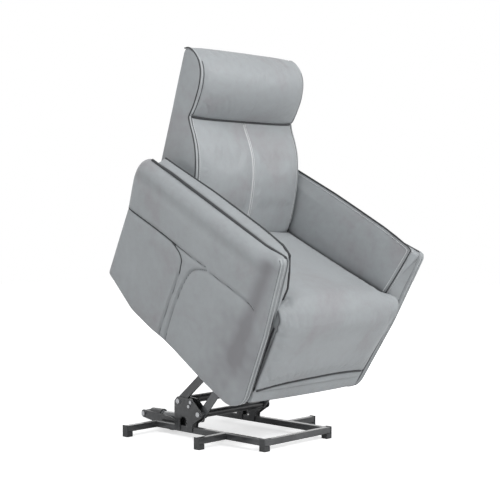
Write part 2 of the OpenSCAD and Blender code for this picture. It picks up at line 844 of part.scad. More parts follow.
// Upholstered board between the arm panels, with sides that follow their lean
module closing_panel(y, t, low, high) {
    out = soft_gap / cos(arm_splay);
    color(hide_grey) on_chair() translate([0, y + t, 0]) rotate([90, 0, 0]) linear_extrude(t)
        polygon([
            [-arm_inner(low) + out, low], [arm_inner(low) - out, low],
            [arm_inner(high) - out, high], [-arm_inner(high) + out, high]
        ]);
}

module front_lower_panel() {
    closing_panel(2, low_panel_t, 3, seam_h);
}

module rear_lower_panel() {
    closing_panel(arm_depth - low_panel_t - 4, low_panel_t, rear_panel_low_h, seat_rear_h - 67);
}

// Control box on the rear of the seat rails, with the socket for its supply lead
module control_box() {
    w = 2 * chair_plate_x + 2 * chair_plate_t;
    d = 74;
    box_w = 150;
    y = back_pivot_at - 10;
    color(plastic_black) on_chair() {
        difference() {
            translate([-box_w / 2, y, cross_h + 2]) cube([box_w, d, 34]);
            translate([40, y + d - 12, cross_h + 19]) rotate([-90, 0, 0]) cylinder(r = 5.5, h = 13);
        }
        translate([-w / 2 - 6, y + 10, cross_h]) cube([w + 12, 30, 2 + eps]);
    }
}

// Ears on the middle cross tube for the back actuator's tail, with their pin
module back_motor_bracket() {
    in = eye_w / 2 + 0.5;
    out = in + 5;
    color(steel_black) on_chair() {
        for (x = [-out, in]) difference() {
            side_plate(x, 5) union() {
                translate(back_tail) circle(12);
                translate([back_tail[0] - 12, cross_h + cross_tube]) square([24, back_tail[1] - cross_h - cross_tube]);
            }
            rod_x(back_tail, bolt_r, x - 1, x + 6);
        }
        rod_x(back_tail, bolt_r, -out - 3, out + 3);
    }
}

// ---------- back ----------

module back_stiles() {
    color(ply) on_back() both_sides()
        translate([back_w / 2 - back_frame_w, -rear_panel_t - back_frame_t, back_frame_low])
            cube([back_frame_w, back_frame_t, back_frame_high - back_frame_low]);
}

module back_rails() {
    half = back_w / 2 - back_frame_w;
    color(ply) on_back() translate([-half, -rear_panel_t - back_frame_t, 0])
        for (z = [back_frame_low, (back_frame_high + back_frame_low) / 2, back_frame_high - back_frame_w])
            translate([0, 0, z]) cube([2 * half, back_frame_t, back_frame_w]);
}

module rear_panel() {
    color(hide_grey) on_back() translate([-back_w / 2, -rear_panel_t, back_frame_low - 12])
        cube([back_w, rear_panel_t, back_frame_high - back_frame_low + 12]);
}

// Steel arms from the back's stiles to the recline pivot
module back_hinge_arms() {
    half = back_w / 2;
    ear = 20;
    foot = [back_foot_at - 14, seat_rear_h - 15];
    color(steel_black) on_chair() both_sides() side_plate(half + soft_gap, plate_t) difference() {
        union() {
            translate(back_pivot) circle(ear);
            polygon([
                back_pivot + [0, ear * tuck], back_pivot + [0, -ear * tuck], foot + [-24, 0], foot + [-2, 0],
                foot + [22, 110], foot + [-6, 110], foot + [-30, 50]
            ]);
        }
        translate(back_pivot) circle(hinge_pin_r + run_gap);
    }
    // blocks that close the gap between a stile and its arm
    color(steel_black) on_back() both_sides() translate([half, -rear_panel_t - back_frame_t + 4, 20])
        cube([soft_gap + eps, back_frame_t - 8, 60]);
}

// Twin slotted crank on a foot plate under the back frame, where its actuator pulls
module back_crank() {
    plate_half = crank_in + crank_t + 18;
    frame_at = -rear_panel_t - back_frame_t;
    foot = [back_foot_at - 34, seat_rear_h - 40];
    color(steel_black) {
        on_chair() for (x = [-crank_in - crank_t, crank_in]) difference() {
            side_plate(x, crank_t) difference() {
                union() {
                    translate(back_crank_pin) circle(eye_r);
                    polygon([
                        back_crank_pin + eye_r * tuck * [cos(143), sin(143)],
                        back_crank_pin + eye_r * tuck * [cos(323), sin(323)],
                        foot + [10, -4], foot + [10, 20], foot + [-11, 20], foot + [-11, 2]
                    ]);
                }
                let (along = unit(back_crank_pin - back_pivot))
                    bar_2d(back_crank_pin + 0.4 * along, back_crank_pin - crank_slot_travel * along,
                           2 * (bolt_r + crank_slot_play));
            }
            translate([-plate_half, 0, 0]) on_back_face() translate([0, -100, back_frame_low - plate_t / 2])
                cube([2 * plate_half, 200, 100]);
        }
        on_back() translate([-plate_half, frame_at, back_frame_low - plate_t])
            cube([2 * plate_half, back_frame_t - soft_gap, plate_t]);
    }
}

// Side outline of the lumbar cushion, bulged forward by out. Each point of its front gives how far it lies
// behind the seat, its share of the way up to the crease, and its share of the bulge.
lumbar_front = [
    [4, 0.013, 0.4], [41, 0.336, 1], [89, 0.624, 1], [125, 0.763, 1], [164, 0.865, 0.7], [221, 0.995, 0]
];
module lumbar_profile(out) {
    rear = back_foot_at - 20;
    rise = crease_h - back_pivot_h;
    front = [for (p = lumbar_front) [seat_depth + p[0] - out * p[2], back_pivot_h + p[1] * rise]];
    polygon(concat(front, [[rear + 100, crease_h - 2], [rear, back_pivot_h]]));
    translate(back_pivot) circle(lumbar_r, $fn = soft_fn);
}

// Room behind the cushions for the frame and the rear panel
module behind_cushions() {
    on_back() translate([-back_w, -back_layers, -200]) cube([2 * back_w, 400, 200 + back_frame_high + soft_gap]);
}

module back_cushion() {
    half = back_w / 2;
    color(hide_grey) difference() {
        on_chair() hull() {
            side_plate(-half, 2 * half) lumbar_profile(0);
            side_plate(-half * 0.6, half * 1.2) lumbar_profile(back_crown);
        }
        behind_cushions();
        on_chair() translate([-half - 1, back_pivot_at - 18, 0]) cube([2 * half + 2, 300, back_pivot_h - 32]);
        on_chair() both_sides() rod_x(back_pivot, hinge_pin_r + 2, half - 6, half + 1);
    }
}

// Side outline of the headrest, given in the same way, from the crease to the top
headrest_front = [
    [221, 0.009, 0], [218, 0.264, 1], [224, 0.509, 1], [243, 0.736, 0.8], [279, 0.936, 0], [314, 1, 0],
    [355, 0.991, 0], [376, 0.918, 0], [368, 0.755, 0], [300, 0.009, 0]
];
module headrest_profile(out) {
    rise = back_top_h - crease_h;
    polygon([for (p = headrest_front) [seat_depth + p[0] - out * p[2], crease_h + p[1] * rise]]);
}

module headrest() {
    half = back_w / 2;
    color(hide_grey) difference() {
        on_chair() hull() {
            side_plate(-half, 2 * half) headrest_profile(0);
            side_plate(-half * 0.6, half * 1.2) headrest_profile(back_crown * 0.6);
        }
        behind_cushions();
    }
}

// ---------- leg rest ----------

module legrest_arms() {
    half = back_w / 2 + soft_gap;
    back_edge = legrest_back_at;
    ear = 18;
    color(steel_black) on_chair() both_sides() side_plate(half, plate_t) difference() {
        union() {
            translate(legrest_pivot) circle(ear);
            polygon([
                legrest_pivot + [-ear * tuck, 0], legrest_pivot + [ear * tuck, 0], [back_edge + 6, legrest_low_h + 60],
                [back_edge, legrest_low_h + 30], [back_edge - legrest_board_t, legrest_low_h + 30]
            ]);
        }
        translate(legrest_pivot) circle(hinge_pin_r + run_gap);
    }
}

module legrest_board() {
    half = back_w / 2 + soft_gap;
    color(ply) on_chair() translate([-half, legrest_back_at - legrest_board_t, legrest_low_h + 5])
        cube([2 * half, legrest_board_t, legrest_pivot_h - roll_r - legrest_low_h - 10]);
}

// Roll and pad between -half and half, with a full front
module legrest_block(half) {
    edge = 20;
    rear_edge = 14;
    rod_x(legrest_pivot, roll_r, -half, half);
    difference() {
        hull() {
            rod_x(legrest_pivot, roll_r, -half, half);
            rod_x([edge, legrest_low_h + edge], edge, -half, half);
            rod_x([legrest_back_at - rear_edge, legrest_low_h + rear_edge], rear_edge, -half, half);
            rod_x([edge - 6, (legrest_low_h + legrest_pivot_h) / 2], edge, -half * 0.7, half * 0.7);
        }
        translate([-half - 1, legrest_back_at, 0]) cube([2 * half + 2, 2 * roll_r, legrest_pivot_h]);
    }
}

// Space that the leg rest has between the arm panels, in front of its hinge
module between_panels() {
    low = legrest_low_h - 1;
    high = legrest_pivot_h + roll_r + 1;
    wide = arm_inner(legrest_pivot_h) - wing_gap;
    narrow = arm_inner(low) - wing_gap;
    translate([0, legrest_pivot_at + 2, 0]) rotate([90, 0, 0]) linear_extrude(2 * roll_r)
        polygon([
            [-narrow, low], [narrow, low], [wide, legrest_pivot_h],
            [wide, high], [-wide, high], [-wide, legrest_pivot_h]
        ]);
}

// Pad and roll in one: it turns about the hinge inside the roll, so the seat's front edge stays filled
module legrest_pad() {
    half = back_w / 2;
    slot_front = legrest_pivot_at - 20;
    slot_top = legrest_pivot_h + 21;
    color(hide_grey) on_chair() difference() {
        union() {
            legrest_block(half);
            intersection() {
                legrest_block(arm_inner(legrest_pivot_h));
                between_panels();
            }
        }
        both_sides() translate([half, slot_front, 0]) cube([wing_in - half, 2 * roll_r, slot_top]);
        translate([-half - 1, legrest_back_at - legrest_board_t - soft_gap, 0])
            cube([2 * half + 2, legrest_board_t + 2, legrest_pivot_h - roll_r - 2]);
        both_sides() rod_x(legrest_pivot, hinge_pin_r + 2, half - 6, half + 1);
    }
}

side_rail(1);  // side_rail_left
side_rail(-1);  // side_rail_right
front_bar();
outriggers(mid_outrigger_at, mid_reach);  // middle_outriggers
outriggers(base_depth - tube / 2, rear_reach);  // rear_outriggers
feet();
lift_bracket(1);  // lift_bracket_left
lift_bracket(-1);  // lift_bracket_right
pivot_bolts();
front_link_spacers();
motor_mount();
motor_tail_pin();
rear_lift_links();
torque_tube();
front_lift_links();
front_cross_tube();
lift_motor();
lift_actuator_tube();
lift_rod();
mechanism_plate(1);  // mechanism_plate_left
mechanism_plate(-1);  // mechanism_plate_right
chair_pivot_pins();
seat_rails();
seat_cross_tubes();
seat_frame_sides();
seat_frame_ends();
seat_webbing();
seat_cushion();
hinge_plates();
hinge_pins(back_pivot);  // back_pivot_pins
hinge_pins(legrest_pivot);  // legrest_pivot_pins
arm_panel(1);  // arm_panel_left
arm_panel(-1);  // arm_panel_right
arm_board(1);  // arm_board_left
arm_board(-1);  // arm_board_right
arm_pad(1);  // arm_pad_left
arm_pad(-1);  // arm_pad_right
arm_brackets();
front_lower_panel();
rear_lower_panel();
control_box();
back_motor_bracket();
back_motor();
back_actuator_tube();
back_rod();
back_stiles();
back_rails();
back_hinge_arms();
back_crank();
back_cushion();
headrest();
rear_panel();
legrest_arms();
legrest_board();
legrest_pad();
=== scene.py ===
# Looks for the power lift recliner: leather upholstery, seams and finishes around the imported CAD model.
# Upholstery is built in the chair's own frame (X across, Y back, Z up, in millimetres, from the lower front edge
# of the arm panels, as the chair stands level) and then placed, in metres, on the raised chair.
import json
import math

import bmesh
import bpy
import numpy as np
from mathutils import Matrix, Vector, noise


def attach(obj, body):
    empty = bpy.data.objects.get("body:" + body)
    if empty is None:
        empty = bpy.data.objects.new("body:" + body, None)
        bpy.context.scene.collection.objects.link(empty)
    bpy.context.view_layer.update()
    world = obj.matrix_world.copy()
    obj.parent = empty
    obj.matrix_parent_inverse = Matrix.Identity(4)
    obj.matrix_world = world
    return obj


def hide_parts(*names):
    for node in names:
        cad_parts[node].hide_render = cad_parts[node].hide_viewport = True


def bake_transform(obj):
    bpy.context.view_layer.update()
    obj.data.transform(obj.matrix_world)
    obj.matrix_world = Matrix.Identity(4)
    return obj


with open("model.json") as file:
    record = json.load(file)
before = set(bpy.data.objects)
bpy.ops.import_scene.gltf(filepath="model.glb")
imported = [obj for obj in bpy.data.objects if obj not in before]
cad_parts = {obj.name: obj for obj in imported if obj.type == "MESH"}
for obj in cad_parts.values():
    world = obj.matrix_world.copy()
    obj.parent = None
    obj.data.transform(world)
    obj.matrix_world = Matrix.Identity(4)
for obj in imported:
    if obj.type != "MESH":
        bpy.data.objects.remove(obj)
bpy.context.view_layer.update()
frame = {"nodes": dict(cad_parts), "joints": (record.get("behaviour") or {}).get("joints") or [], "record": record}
MM = 0.001
JOINTS = {j["name"]: j for j in frame["joints"]}

# Where two hinges stand in the chair's own frame, back and up, in millimetres
LEG_HINGE = (60, 341)
BACK_HINGE = (730, 345)


def chair_frame():
    """The raised chair's place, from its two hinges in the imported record."""
    leg = Vector(JOINTS["legrest_swing"]["pos_m"])
    back = Vector(JOINTS["back_recline"]["pos_m"])
    level = math.atan2(BACK_HINGE[1] - LEG_HINGE[1], BACK_HINGE[0] - LEG_HINGE[0])
    tilt = math.atan2(back.z - leg.z, back.y - leg.y) - level
    hinge = Matrix.Translation((0, -LEG_HINGE[0] * MM, -LEG_HINGE[1] * MM))
    return Matrix.Translation(leg) @ Matrix.Rotation(tilt, 4, "X") @ hinge


CHAIR = chair_frame()


def new_object(name, data):
    obj = bpy.data.objects.new(name, data)
    bpy.context.scene.collection.objects.link(obj)
    return obj


# ---------- shader nodes ----------
# Sockets of a Mix node that mixes colours
MIX_FACTOR, MIX_A, MIX_B, MIX_RESULT = 0, 6, 7, 2


def emptied(owner):
    """The node tree of a material or world, with nothing in it."""
    owner.use_nodes = True
    owner.node_tree.nodes.clear()
    return owner.node_tree


def set_inputs(nt, node, inputs):
    """Link a node's sockets to other nodes' outputs, or set them to numbers and colours."""
    for name, value in inputs.items():
        if isinstance(value, bpy.types.NodeSocket):
            nt.links.new(value, node.inputs[name])
        else:
            node.inputs[name].default_value = (*value, 1) if isinstance(value, tuple) else value


def add_node(nt, kind, inputs):
    node = nt.nodes.new("ShaderNode" + kind)
    set_inputs(nt, node, inputs)
    return node


def math_node(nt, operation, a, b):
    node = add_node(nt, "Math", {0: a, 1: b})
    node.operation = operation
    return node.outputs[0]


def object_coords(nt):
    return nt.nodes.new("ShaderNodeTexCoord").outputs["Object"]


def noise_node(nt, coords, scale, detail=3, roughness=0.5, distortion=0):
    return add_node(nt, "TexNoise", {"Scale": scale, "Detail": detail, "Roughness": roughness,
                                     "Distortion": distortion, "Vector": coords}).outputs["Fac"]


def ramp(nt, fac, stops):
    node = add_node(nt, "ValToRGB", {"Fac": fac})
    elements = node.color_ramp.elements
    while len(elements) < len(stops):
        elements.new(0.5)
    for element, (at, colour) in zip(elements, stops):
        element.position = at
        element.color = (*colour, 1)
    return node.outputs["Color"]


def to_range(nt, fac, lo, hi, from_lo=0.0, from_hi=1.0):
    return add_node(nt, "MapRange", {"Value": fac, "From Min": from_lo, "From Max": from_hi,
                                     "To Min": lo, "To Max": hi}).outputs["Result"]


def mix_colour(nt, fac, a, b):
    node = nt.nodes.new("ShaderNodeMix")
    node.data_type = "RGBA"
    set_inputs(nt, node, {MIX_FACTOR: fac, MIX_A: a, MIX_B: b})
    return node.outputs[MIX_RESULT]


def bump(nt, height, strength, distance, over=None):
    """A bump of so many metres, over another one if that is given."""
    node = add_node(nt, "Bump", {"Strength": strength, "Distance": distance, "Height": height})
    if over is not None:
        nt.links.new(over, node.inputs["Normal"])
    return node.outputs["Normal"]


def attribute(nt, name):
    node = nt.nodes.new("ShaderNodeAttribute")
    node.attribute_name = name
    return node.outputs["Fac"]


# ---------- camera, floor and light, in metres and watts ----------
CAMERA_AZIMUTH, CAMERA_ELEVATION = math.radians(-46.47), math.radians(1.89)
CAMERA_DISTANCE = 4.816
CAMERA_TARGET = Vector((0.0024, 0.0338, 0.7512))
SENSOR_WIDTH, LENS = 36, 86.4
FLOOR_HALF, FLOOR_Z = 9, -0.0005
FLOOR_COLOUR = (0.93, 0.93, 0.93)
# The floor's glow for the camera: its strength near and far, and how far out each holds
GLOW_NEAR, GLOW_FAR, GLOW_START, GLOW_END = 0.62, 1.0, 0.7, 2.6
AMBIENT_COLOUR, AMBIENT_STRENGTH = (0.96, 0.98, 1.0), 0.27
MIDDLE = (0, 0, 0.8)
# Each lamp's name, place, target, side and power
LAMPS = [
    ("key", (1.0, -4.0, 3.4), MIDDLE, 2.4, 134), ("over_left", (-2.6, -1.8, 4.4), MIDDLE, 2.2, 112),
    ("low_left", (-3.4, 1.4, 1.4), (0, 0.3, 0.7), 1.4, 16), ("rim", (1.5, 4.0, 2.6), MIDDLE, 2.4, 24),
]


def aim(obj, place, target):
    obj.location = place
    obj.rotation_euler = (Vector(target) - obj.location).to_track_quat("-Z", "Y").to_euler()


def add_camera():
    level = math.cos(CAMERA_ELEVATION)
    away = Vector((math.sin(CAMERA_AZIMUTH) * level, -math.cos(CAMERA_AZIMUTH) * level,
                   math.sin(CAMERA_ELEVATION)))
    data = bpy.data.cameras.new("camera")
    data.sensor_width = SENSOR_WIDTH
    data.lens = LENS
    camera = new_object("camera", data)
    aim(camera, CAMERA_TARGET + away * CAMERA_DISTANCE, CAMERA_TARGET)
    bpy.context.scene.camera = camera
    bpy.context.scene.view_settings.view_transform = "Standard"


def add_floor():
    """Pale floor that reads as white to the camera and keeps the object's soft shadow."""
    mesh = bpy.data.meshes.new("floor")
    half = FLOOR_HALF
    mesh.from_pydata([(-half, -half, 0), (half, -half, 0), (half, half, 0), (-half, half, 0)], [], [(0, 1, 2, 3)])
    floor = new_object("floor", mesh)
    floor.location.z = FLOOR_Z
    material = bpy.data.materials.new("studio_floor")
    nt = emptied(material)
    reach = add_node(nt, "VectorMath", {0: object_coords(nt)})
    reach.operation = "LENGTH"
    strength = to_range(nt, reach.outputs["Value"], GLOW_NEAR, GLOW_FAR, GLOW_START, GLOW_END)
    seen = nt.nodes.new("ShaderNodeLightPath").outputs["Is Camera Ray"]
    glow = add_node(nt, "Emission", {"Strength": math_node(nt, "MULTIPLY", seen, strength)})
    diffuse = add_node(nt, "BsdfDiffuse", {"Color": FLOOR_COLOUR})
    both = add_node(nt, "AddShader", {0: diffuse.outputs[0], 1: glow.outputs[0]})
    add_node(nt, "OutputMaterial", {"Surface": both.outputs[0]})
    mesh.materials.append(material)


def add_world():
    """White where the camera, mirrors or glass see it, and plain soft light on the object."""
    world = bpy.data.worlds.new("studio")
    nt = emptied(world)
    path = nt.nodes.new("ShaderNodeLightPath").outputs
    direct = math_node(nt, "MAXIMUM", path["Is Camera Ray"], path["Is Transmission Ray"])
    seen = math_node(nt, "MAXIMUM", direct, path["Is Glossy Ray"])
    ambient = add_node(nt, "Background", {"Color": AMBIENT_COLOUR, "Strength": AMBIENT_STRENGTH})
    white = add_node(nt, "Background", {"Color": (1, 1, 1)})
    mix = add_node(nt, "MixShader", {0: seen, 1: ambient.outputs[0], 2: white.outputs[0]})
    add_node(nt, "OutputWorld", {"Surface": mix.outputs[0]})
    bpy.context.scene.world = world


def add_lamps():
    for name, place, target, side, power in LAMPS:
        data = bpy.data.lights.new(name, "AREA")
        data.size = side
        data.energy = power
        aim(new_object(name, data), place, target)


add_camera()
add_floor()
add_world()
add_lamps()


# ---------- materials ----------
# Painted shade: the colour put into seams, creases and joins, and the colour put over the arm panels' fronts
SEAM_SHADE_COLOUR = (0.045, 0.047, 0.052)
PANEL_SHADE_COLOUR = (0.205, 0.203, 0.215)


def new_material(name):
    """A material with its node tree, its shader and its coordinates."""
    mat = bpy.data.materials.new(name)
    nt = emptied(mat)
    bsdf = nt.nodes.new("ShaderNodeBsdfPrincipled")
    add_node(nt, "OutputMaterial", {"Surface": bsdf.outputs[0]})
    return mat, nt, bsdf, object_coords(nt)


def times(colour, factor):
    return tuple(c * factor for c in colour)


def leather(name, base=(0.318, 0.336, 0.348), warm=(0.290, 0.288, 0.300), light=(0.345, 0.366, 0.378)):
    """Nubuck-like leather: mottled and finely grained, with painted shade from two mesh attributes, one at seams,
    creases and joins, one over the arm panels' fronts.
    """
    mat, nt, bsdf, co = new_material(name)
    cloud = noise_node(nt, co, 4.2, 5, 0.58, 0.5)
    blotch = noise_node(nt, co, 34, 6, 0.62)
    colour = ramp(nt, cloud, [(0.34, warm), (0.47, base), (0.68, light)])
    colour = mix_colour(nt, 0.30, colour, ramp(nt, blotch, [(0.36, warm), (0.5, base), (0.64, light)]))
    # Painted shade where the seam attribute is set: seam grooves, creases, gaps and joins between cushions
    colour = mix_colour(nt, attribute(nt, "seam"), colour, SEAM_SHADE_COLOUR)
    # Painted shade from the second attribute: a band down each arm panel's front and patches over its lower front
    colour = mix_colour(nt, attribute(nt, "panel_shade"), colour, PANEL_SHADE_COLOUR)
    cells = add_node(nt, "TexVoronoi", {"Scale": 620, "Vector": co})
    cells.feature = "DISTANCE_TO_EDGE"
    grain = to_range(nt, cells.outputs["Distance"], 0, 1, 0.0, 0.25)
    normal = bump(nt, noise_node(nt, co, 17, 3, 0.5, 0.2), 0.12, 0.005)
    normal = bump(nt, noise_node(nt, co, 90, 5, 0.62, 0.6), 0.32, 0.0013, normal)
    normal = bump(nt, grain, 0.35, 0.0004, normal)
    set_inputs(nt, bsdf, {"Base Color": colour, "Roughness": to_range(nt, blotch, 0.44, 0.60), "Normal": normal,
                          "Specular IOR Level": 0.38, "Sheen Weight": 0.12, "Sheen Roughness": 0.5})
    return mat


def thread(name, colour):
    mat, nt, bsdf, co = new_material(name)
    twist = noise_node(nt, co, 900, 2)
    set_inputs(nt, bsdf, {"Base Color": mix_colour(nt, twist, colour, times(colour, 0.7)), "Roughness": 0.7,
                          "Normal": bump(nt, twist, 0.4, 0.0003)})
    return mat


def patchy(name, colours, rough, patch, fine, relief, spread=None, fixed=None):
    """A finish whose colour and roughness vary in patches, each between two values, over a fine bump."""
    mat, nt, bsdf, co = new_material(name)
    patches = noise_node(nt, co, *patch)
    share = to_range(nt, patches, *spread) if spread else patches
    set_inputs(nt, bsdf, {"Base Color": mix_colour(nt, share, *colours), "Roughness": to_range(nt, patches, *rough),
                          "Normal": bump(nt, noise_node(nt, co, fine, 2), *relief), **(fixed or {})})
    return mat


def painted_steel(name, colours, rough):
    return patchy(name, colours, rough, (14, 4, 0.6), 420, (0.06, 0.0003), (0, 0.7, 0.35, 0.75),
                  {"Specular IOR Level": 0.55, "Coat Weight": 0.8, "Coat Roughness": 0.07})


def plywood(name):
    mat, nt, bsdf, co = new_material(name)
    wave = add_node(nt, "TexWave", {"Scale": 9, "Distortion": 9, "Detail": 3, "Vector": co})
    wave.bands_direction = "X"
    grain = wave.outputs["Fac"]
    set_inputs(nt, bsdf, {"Base Color": ramp(nt, grain, [(0.2, (0.42, 0.28, 0.16)), (0.8, (0.60, 0.44, 0.27))]),
                          "Roughness": 0.72, "Normal": bump(nt, grain, 0.2, 0.001)})
    return mat


def woven(name, colour):
    mat, nt, bsdf, co = new_material(name)
    wave = add_node(nt, "TexWave", {"Scale": 160, "Vector": co})
    wave.bands_direction = "Y"
    rib = wave.outputs["Fac"]
    set_inputs(nt, bsdf, {"Base Color": mix_colour(nt, rib, colour, times(colour, 1.9)), "Roughness": 0.85,
                          "Normal": bump(nt, rib, 0.5, 0.0006)})
    return mat


LEATHER = leather("grey_leather_hide")
# Dark leather for the real piping, and for cords and strips that paint shade in grooves, gaps and creases
PIPING_AND_SHADE = leather("dark_piping_and_shade_hide", (0.030, 0.032, 0.035), (0.022, 0.022, 0.025), (0.045, 0.048, 0.052))
WELT = leather("welt_hide", (0.40, 0.42, 0.43), (0.36, 0.37, 0.38), (0.46, 0.48, 0.49))
THREAD = thread("pale_thread", (0.74, 0.75, 0.76))
GREY_THREAD = thread("grey_thread", (0.40, 0.42, 0.43))
ZINC = (0.66, 0.67, 0.69)
BLACK = (0.034, 0.035, 0.037)
SLOT_MATERIALS = {
    "black_steel": painted_steel("black_painted_steel", ((0.030, 0.031, 0.033), (0.085, 0.088, 0.092)), (0.25, 0.44)),
    "grey_steel": painted_steel("grey_painted_steel", ((0.10, 0.105, 0.11), (0.20, 0.21, 0.22)), (0.29, 0.48)),
    "zinc_plate": patchy("zinc_plated_steel", (ZINC, times(ZINC, 0.72)), (0.22, 0.45), (60, 4, 0.65), 500,
                         (0.08, 0.0003), fixed={"Metallic": 1}),
    "black_plastic": patchy("black_moulded_plastic", (BLACK, times(BLACK, 1.5)), (0.37, 0.54), (25, 3), 700,
                            (0.18, 0.0004)),
    "plywood": plywood("birch_plywood"),
    "webbing": woven("black_webbing", (0.02, 0.02, 0.022)),
    "grey_leather": LEATHER,
}
for part in frame["record"]["subparts"]:
    node = frame["nodes"][part["node"]]
    node.data.materials.clear()
    node.data.materials.append(SLOT_MATERIALS[part["material_slot"]])


# ---------- mesh helpers, in the chair's own frame and millimetres ----------
# Points closer than this are one, in metres, and edges shorter than the next are taken out
MERGE_WITHIN, SHORTEST_EDGE = 0.00002, 0.00001
# The cloth: firm enough to wrinkle rather than stretch, with 1.2% to spare and stuffed from inside
CLOTH = {"quality": 4, "mass": 0.3, "tension_stiffness": 14, "compression_stiffness": 14, "shear_stiffness": 5,
         "bending_stiffness": 0.8, "shrink_min": -0.012, "use_pressure": True, "uniform_pressure_force": 4.0,
         "vertex_group_mass": "hold"}
CLOTH_FRAMES = 12
CLOTH_REACH = 7 * MM

def make_object(name, verts, faces, material, smooth=True, marks=None, hold=None, panel_shade=None):
    """A mesh from points in the chair's own frame, placed on the raised chair.

    Marks paint shade into its seams, creases and joins, the last of its layers paints shade over an arm panel's
    front, and hold says how firmly sewing or the frame keeps each point in place when the cover settles.
    """
    points = np.asarray(verts, float).reshape(-1, 3) * MM
    turn = np.array(CHAIR)
    points = points @ turn[:3, :3].T + turn[:3, 3]
    mesh = bpy.data.meshes.new(name)
    mesh.from_pydata(points.tolist(), [], [list(f) for f in faces])
    mesh.materials.append(material)
    for layer, values in (("seam", marks), ("hold", hold), ("panel_shade", panel_shade)):
        if values is not None:
            values = np.asarray(values, np.float32).ravel()
            mesh.attributes.new(layer, "FLOAT", "POINT").data.foreach_set("value", values)
    mesh.validate()
    obj = new_object(name, mesh)
    b = bmesh.new()
    b.from_mesh(mesh)
    bmesh.ops.remove_doubles(b, verts=b.verts, dist=MERGE_WITHIN)
    bmesh.ops.dissolve_degenerate(b, edges=b.edges, dist=SHORTEST_EDGE)
    bmesh.ops.recalc_face_normals(b, faces=b.faces)
    b.to_mesh(mesh)
    b.free()
    if smooth:
        mesh.shade_smooth()
    return obj


def point_values(mesh, layer):
    values = np.empty(len(mesh.vertices), np.float32)
    mesh.attributes[layer].data.foreach_get("value", values)
    return values


def point_places(mesh):
    places = np.empty(len(mesh.vertices) * 3, np.float32)
    mesh.vertices.foreach_get("co", places)
    return places.reshape(-1, 3)


def settle(covers):
    """Let covers swell and wrinkle as cloth between their seams, side by side over the same frames."""
    for obj in covers:
        hold = point_values(obj.data, "hold")
        group = obj.vertex_groups.new(name="hold")
        for level in range(1, 11):
            picked = np.nonzero(np.round(hold * 10) == level)[0]
            if len(picked):
                group.add(picked.tolist(), level / 10, "REPLACE")
        cloth = obj.modifiers.new("cloth", "CLOTH")
        for setting, value in CLOTH.items():
            setattr(cloth.settings, setting, value)
        cloth.settings.effector_weights.gravity = 0
        cloth.point_cache.frame_start, cloth.point_cache.frame_end = 1, CLOTH_FRAMES
    scene = bpy.context.scene
    for frame_number in range(1, CLOTH_FRAMES + 1):
        scene.frame_set(frame_number)
    graph = bpy.context.evaluated_depsgraph_get()
    settled = [point_places(obj.evaluated_get(graph).to_mesh()) for obj in covers]
    for obj, after in zip(covers, settled):
        obj.modifiers.clear()
        obj.vertex_groups.clear()
        before = point_places(obj.data)
        move = after - before
        size = np.linalg.norm(move, axis=1).clip(1e-9)
        limit = CLOTH_REACH * np.tanh(size / CLOTH_REACH)
        move *= (limit / size * (1 - point_values(obj.data, "hold")))[:, None]
        obj.data.vertices.foreach_set("co", (before + move).ravel())
        obj.data.update()
    scene.frame_set(1)


def upholster(obj, body, nodes=()):
    """Attach a padded piece to what it rides on, and hide the CAD solids it stands for."""
    if body is not None:
        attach(obj, body)
    if nodes:
        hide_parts(*nodes)


def add_trim(name, parts, material, body, smooth=True):
    """Piping or stitching, or dark cords that paint shade, in one piece, that rides with its cushion."""
    obj = make_object(name, *merged(parts), material, smooth)
    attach(obj, body)


def grid_faces(rows, cols, start=0, flip=False, wrap=False):
    faces = []
    last = cols if wrap else cols - 1
    for r in range(rows - 1):
        for c in range(last):
            a, b = start + r * cols + c, start + r * cols + (c + 1) % cols
            quad = (a, b, b + cols, a + cols)
            faces.append(quad[::-1] if flip else quad)
    return faces


def closed_shell(outer, inner):
    """Verts and faces of a closed form between two grids of points with the same rows and columns."""
    rows, cols = outer.shape[:2]
    n = rows * cols
    faces = grid_faces(rows, cols) + grid_faces(rows, cols, n, flip=True)
    rim = list(range(cols)) + [r * cols + cols - 1 for r in range(1, rows)]
    rim += [(rows - 1) * cols + c for c in range(cols - 2, -1, -1)] + [r * cols for r in range(rows - 2, 0, -1)]
    for a, b in zip(rim, rim[1:] + rim[:1]):
        faces.append((b, a, a + n, b + n))
    return np.concatenate([outer.reshape(-1, 3), inner.reshape(-1, 3)]), faces


def loft(rings):
    """Verts and faces of closed rings of points, capped at both ends."""
    rings = np.asarray(rings, float)
    count, around = rings.shape[:2]
    verts = rings.reshape(-1, 3)
    faces = grid_faces(count, around, wrap=True)
    faces.append(tuple(range(around))[::-1])
    faces.append(tuple((count - 1) * around + i for i in range(around)))
    return verts, faces


def resample(points, count, closed=False):
    """Points at even steps along a polyline of any dimension."""
    pts = np.asarray(points, float)
    if closed:
        pts = np.vstack([pts, pts[:1]])
    steps = np.linalg.norm(np.diff(pts, axis=0), axis=1)
    along = np.concatenate([[0], np.cumsum(steps)])
    at = np.linspace(0, along[-1], count + 1)[:-1] if closed else np.linspace(0, along[-1], count)
    return np.stack([np.interp(at, along, pts[:, k]) for k in range(pts.shape[1])], axis=1)


def smooth_curve(points, count, closed=False):
    """Even points on a Catmull-Rom curve through the given ones."""
    pts = np.asarray(points, float)
    if closed:
        pts = np.vstack([pts[-1:], pts, pts[:2]])
    else:
        pts = np.vstack([2 * pts[:1] - pts[1:2], pts, 2 * pts[-1:] - pts[-2:-1]])
    t = np.linspace(0, 1, 12, endpoint=False)[:, None]
    out = []
    for a, b, c, d in zip(pts[:-3], pts[1:-2], pts[2:-1], pts[3:]):
        out.append(0.5 * (2 * b + (c - a) * t + (2 * a - 5 * b + 4 * c - d) * t ** 2
                          + (3 * b - a - 3 * c + d) * t ** 3))
    if not closed:
        out.append(pts[-2:-1])
    return resample(np.concatenate(out), count, closed)


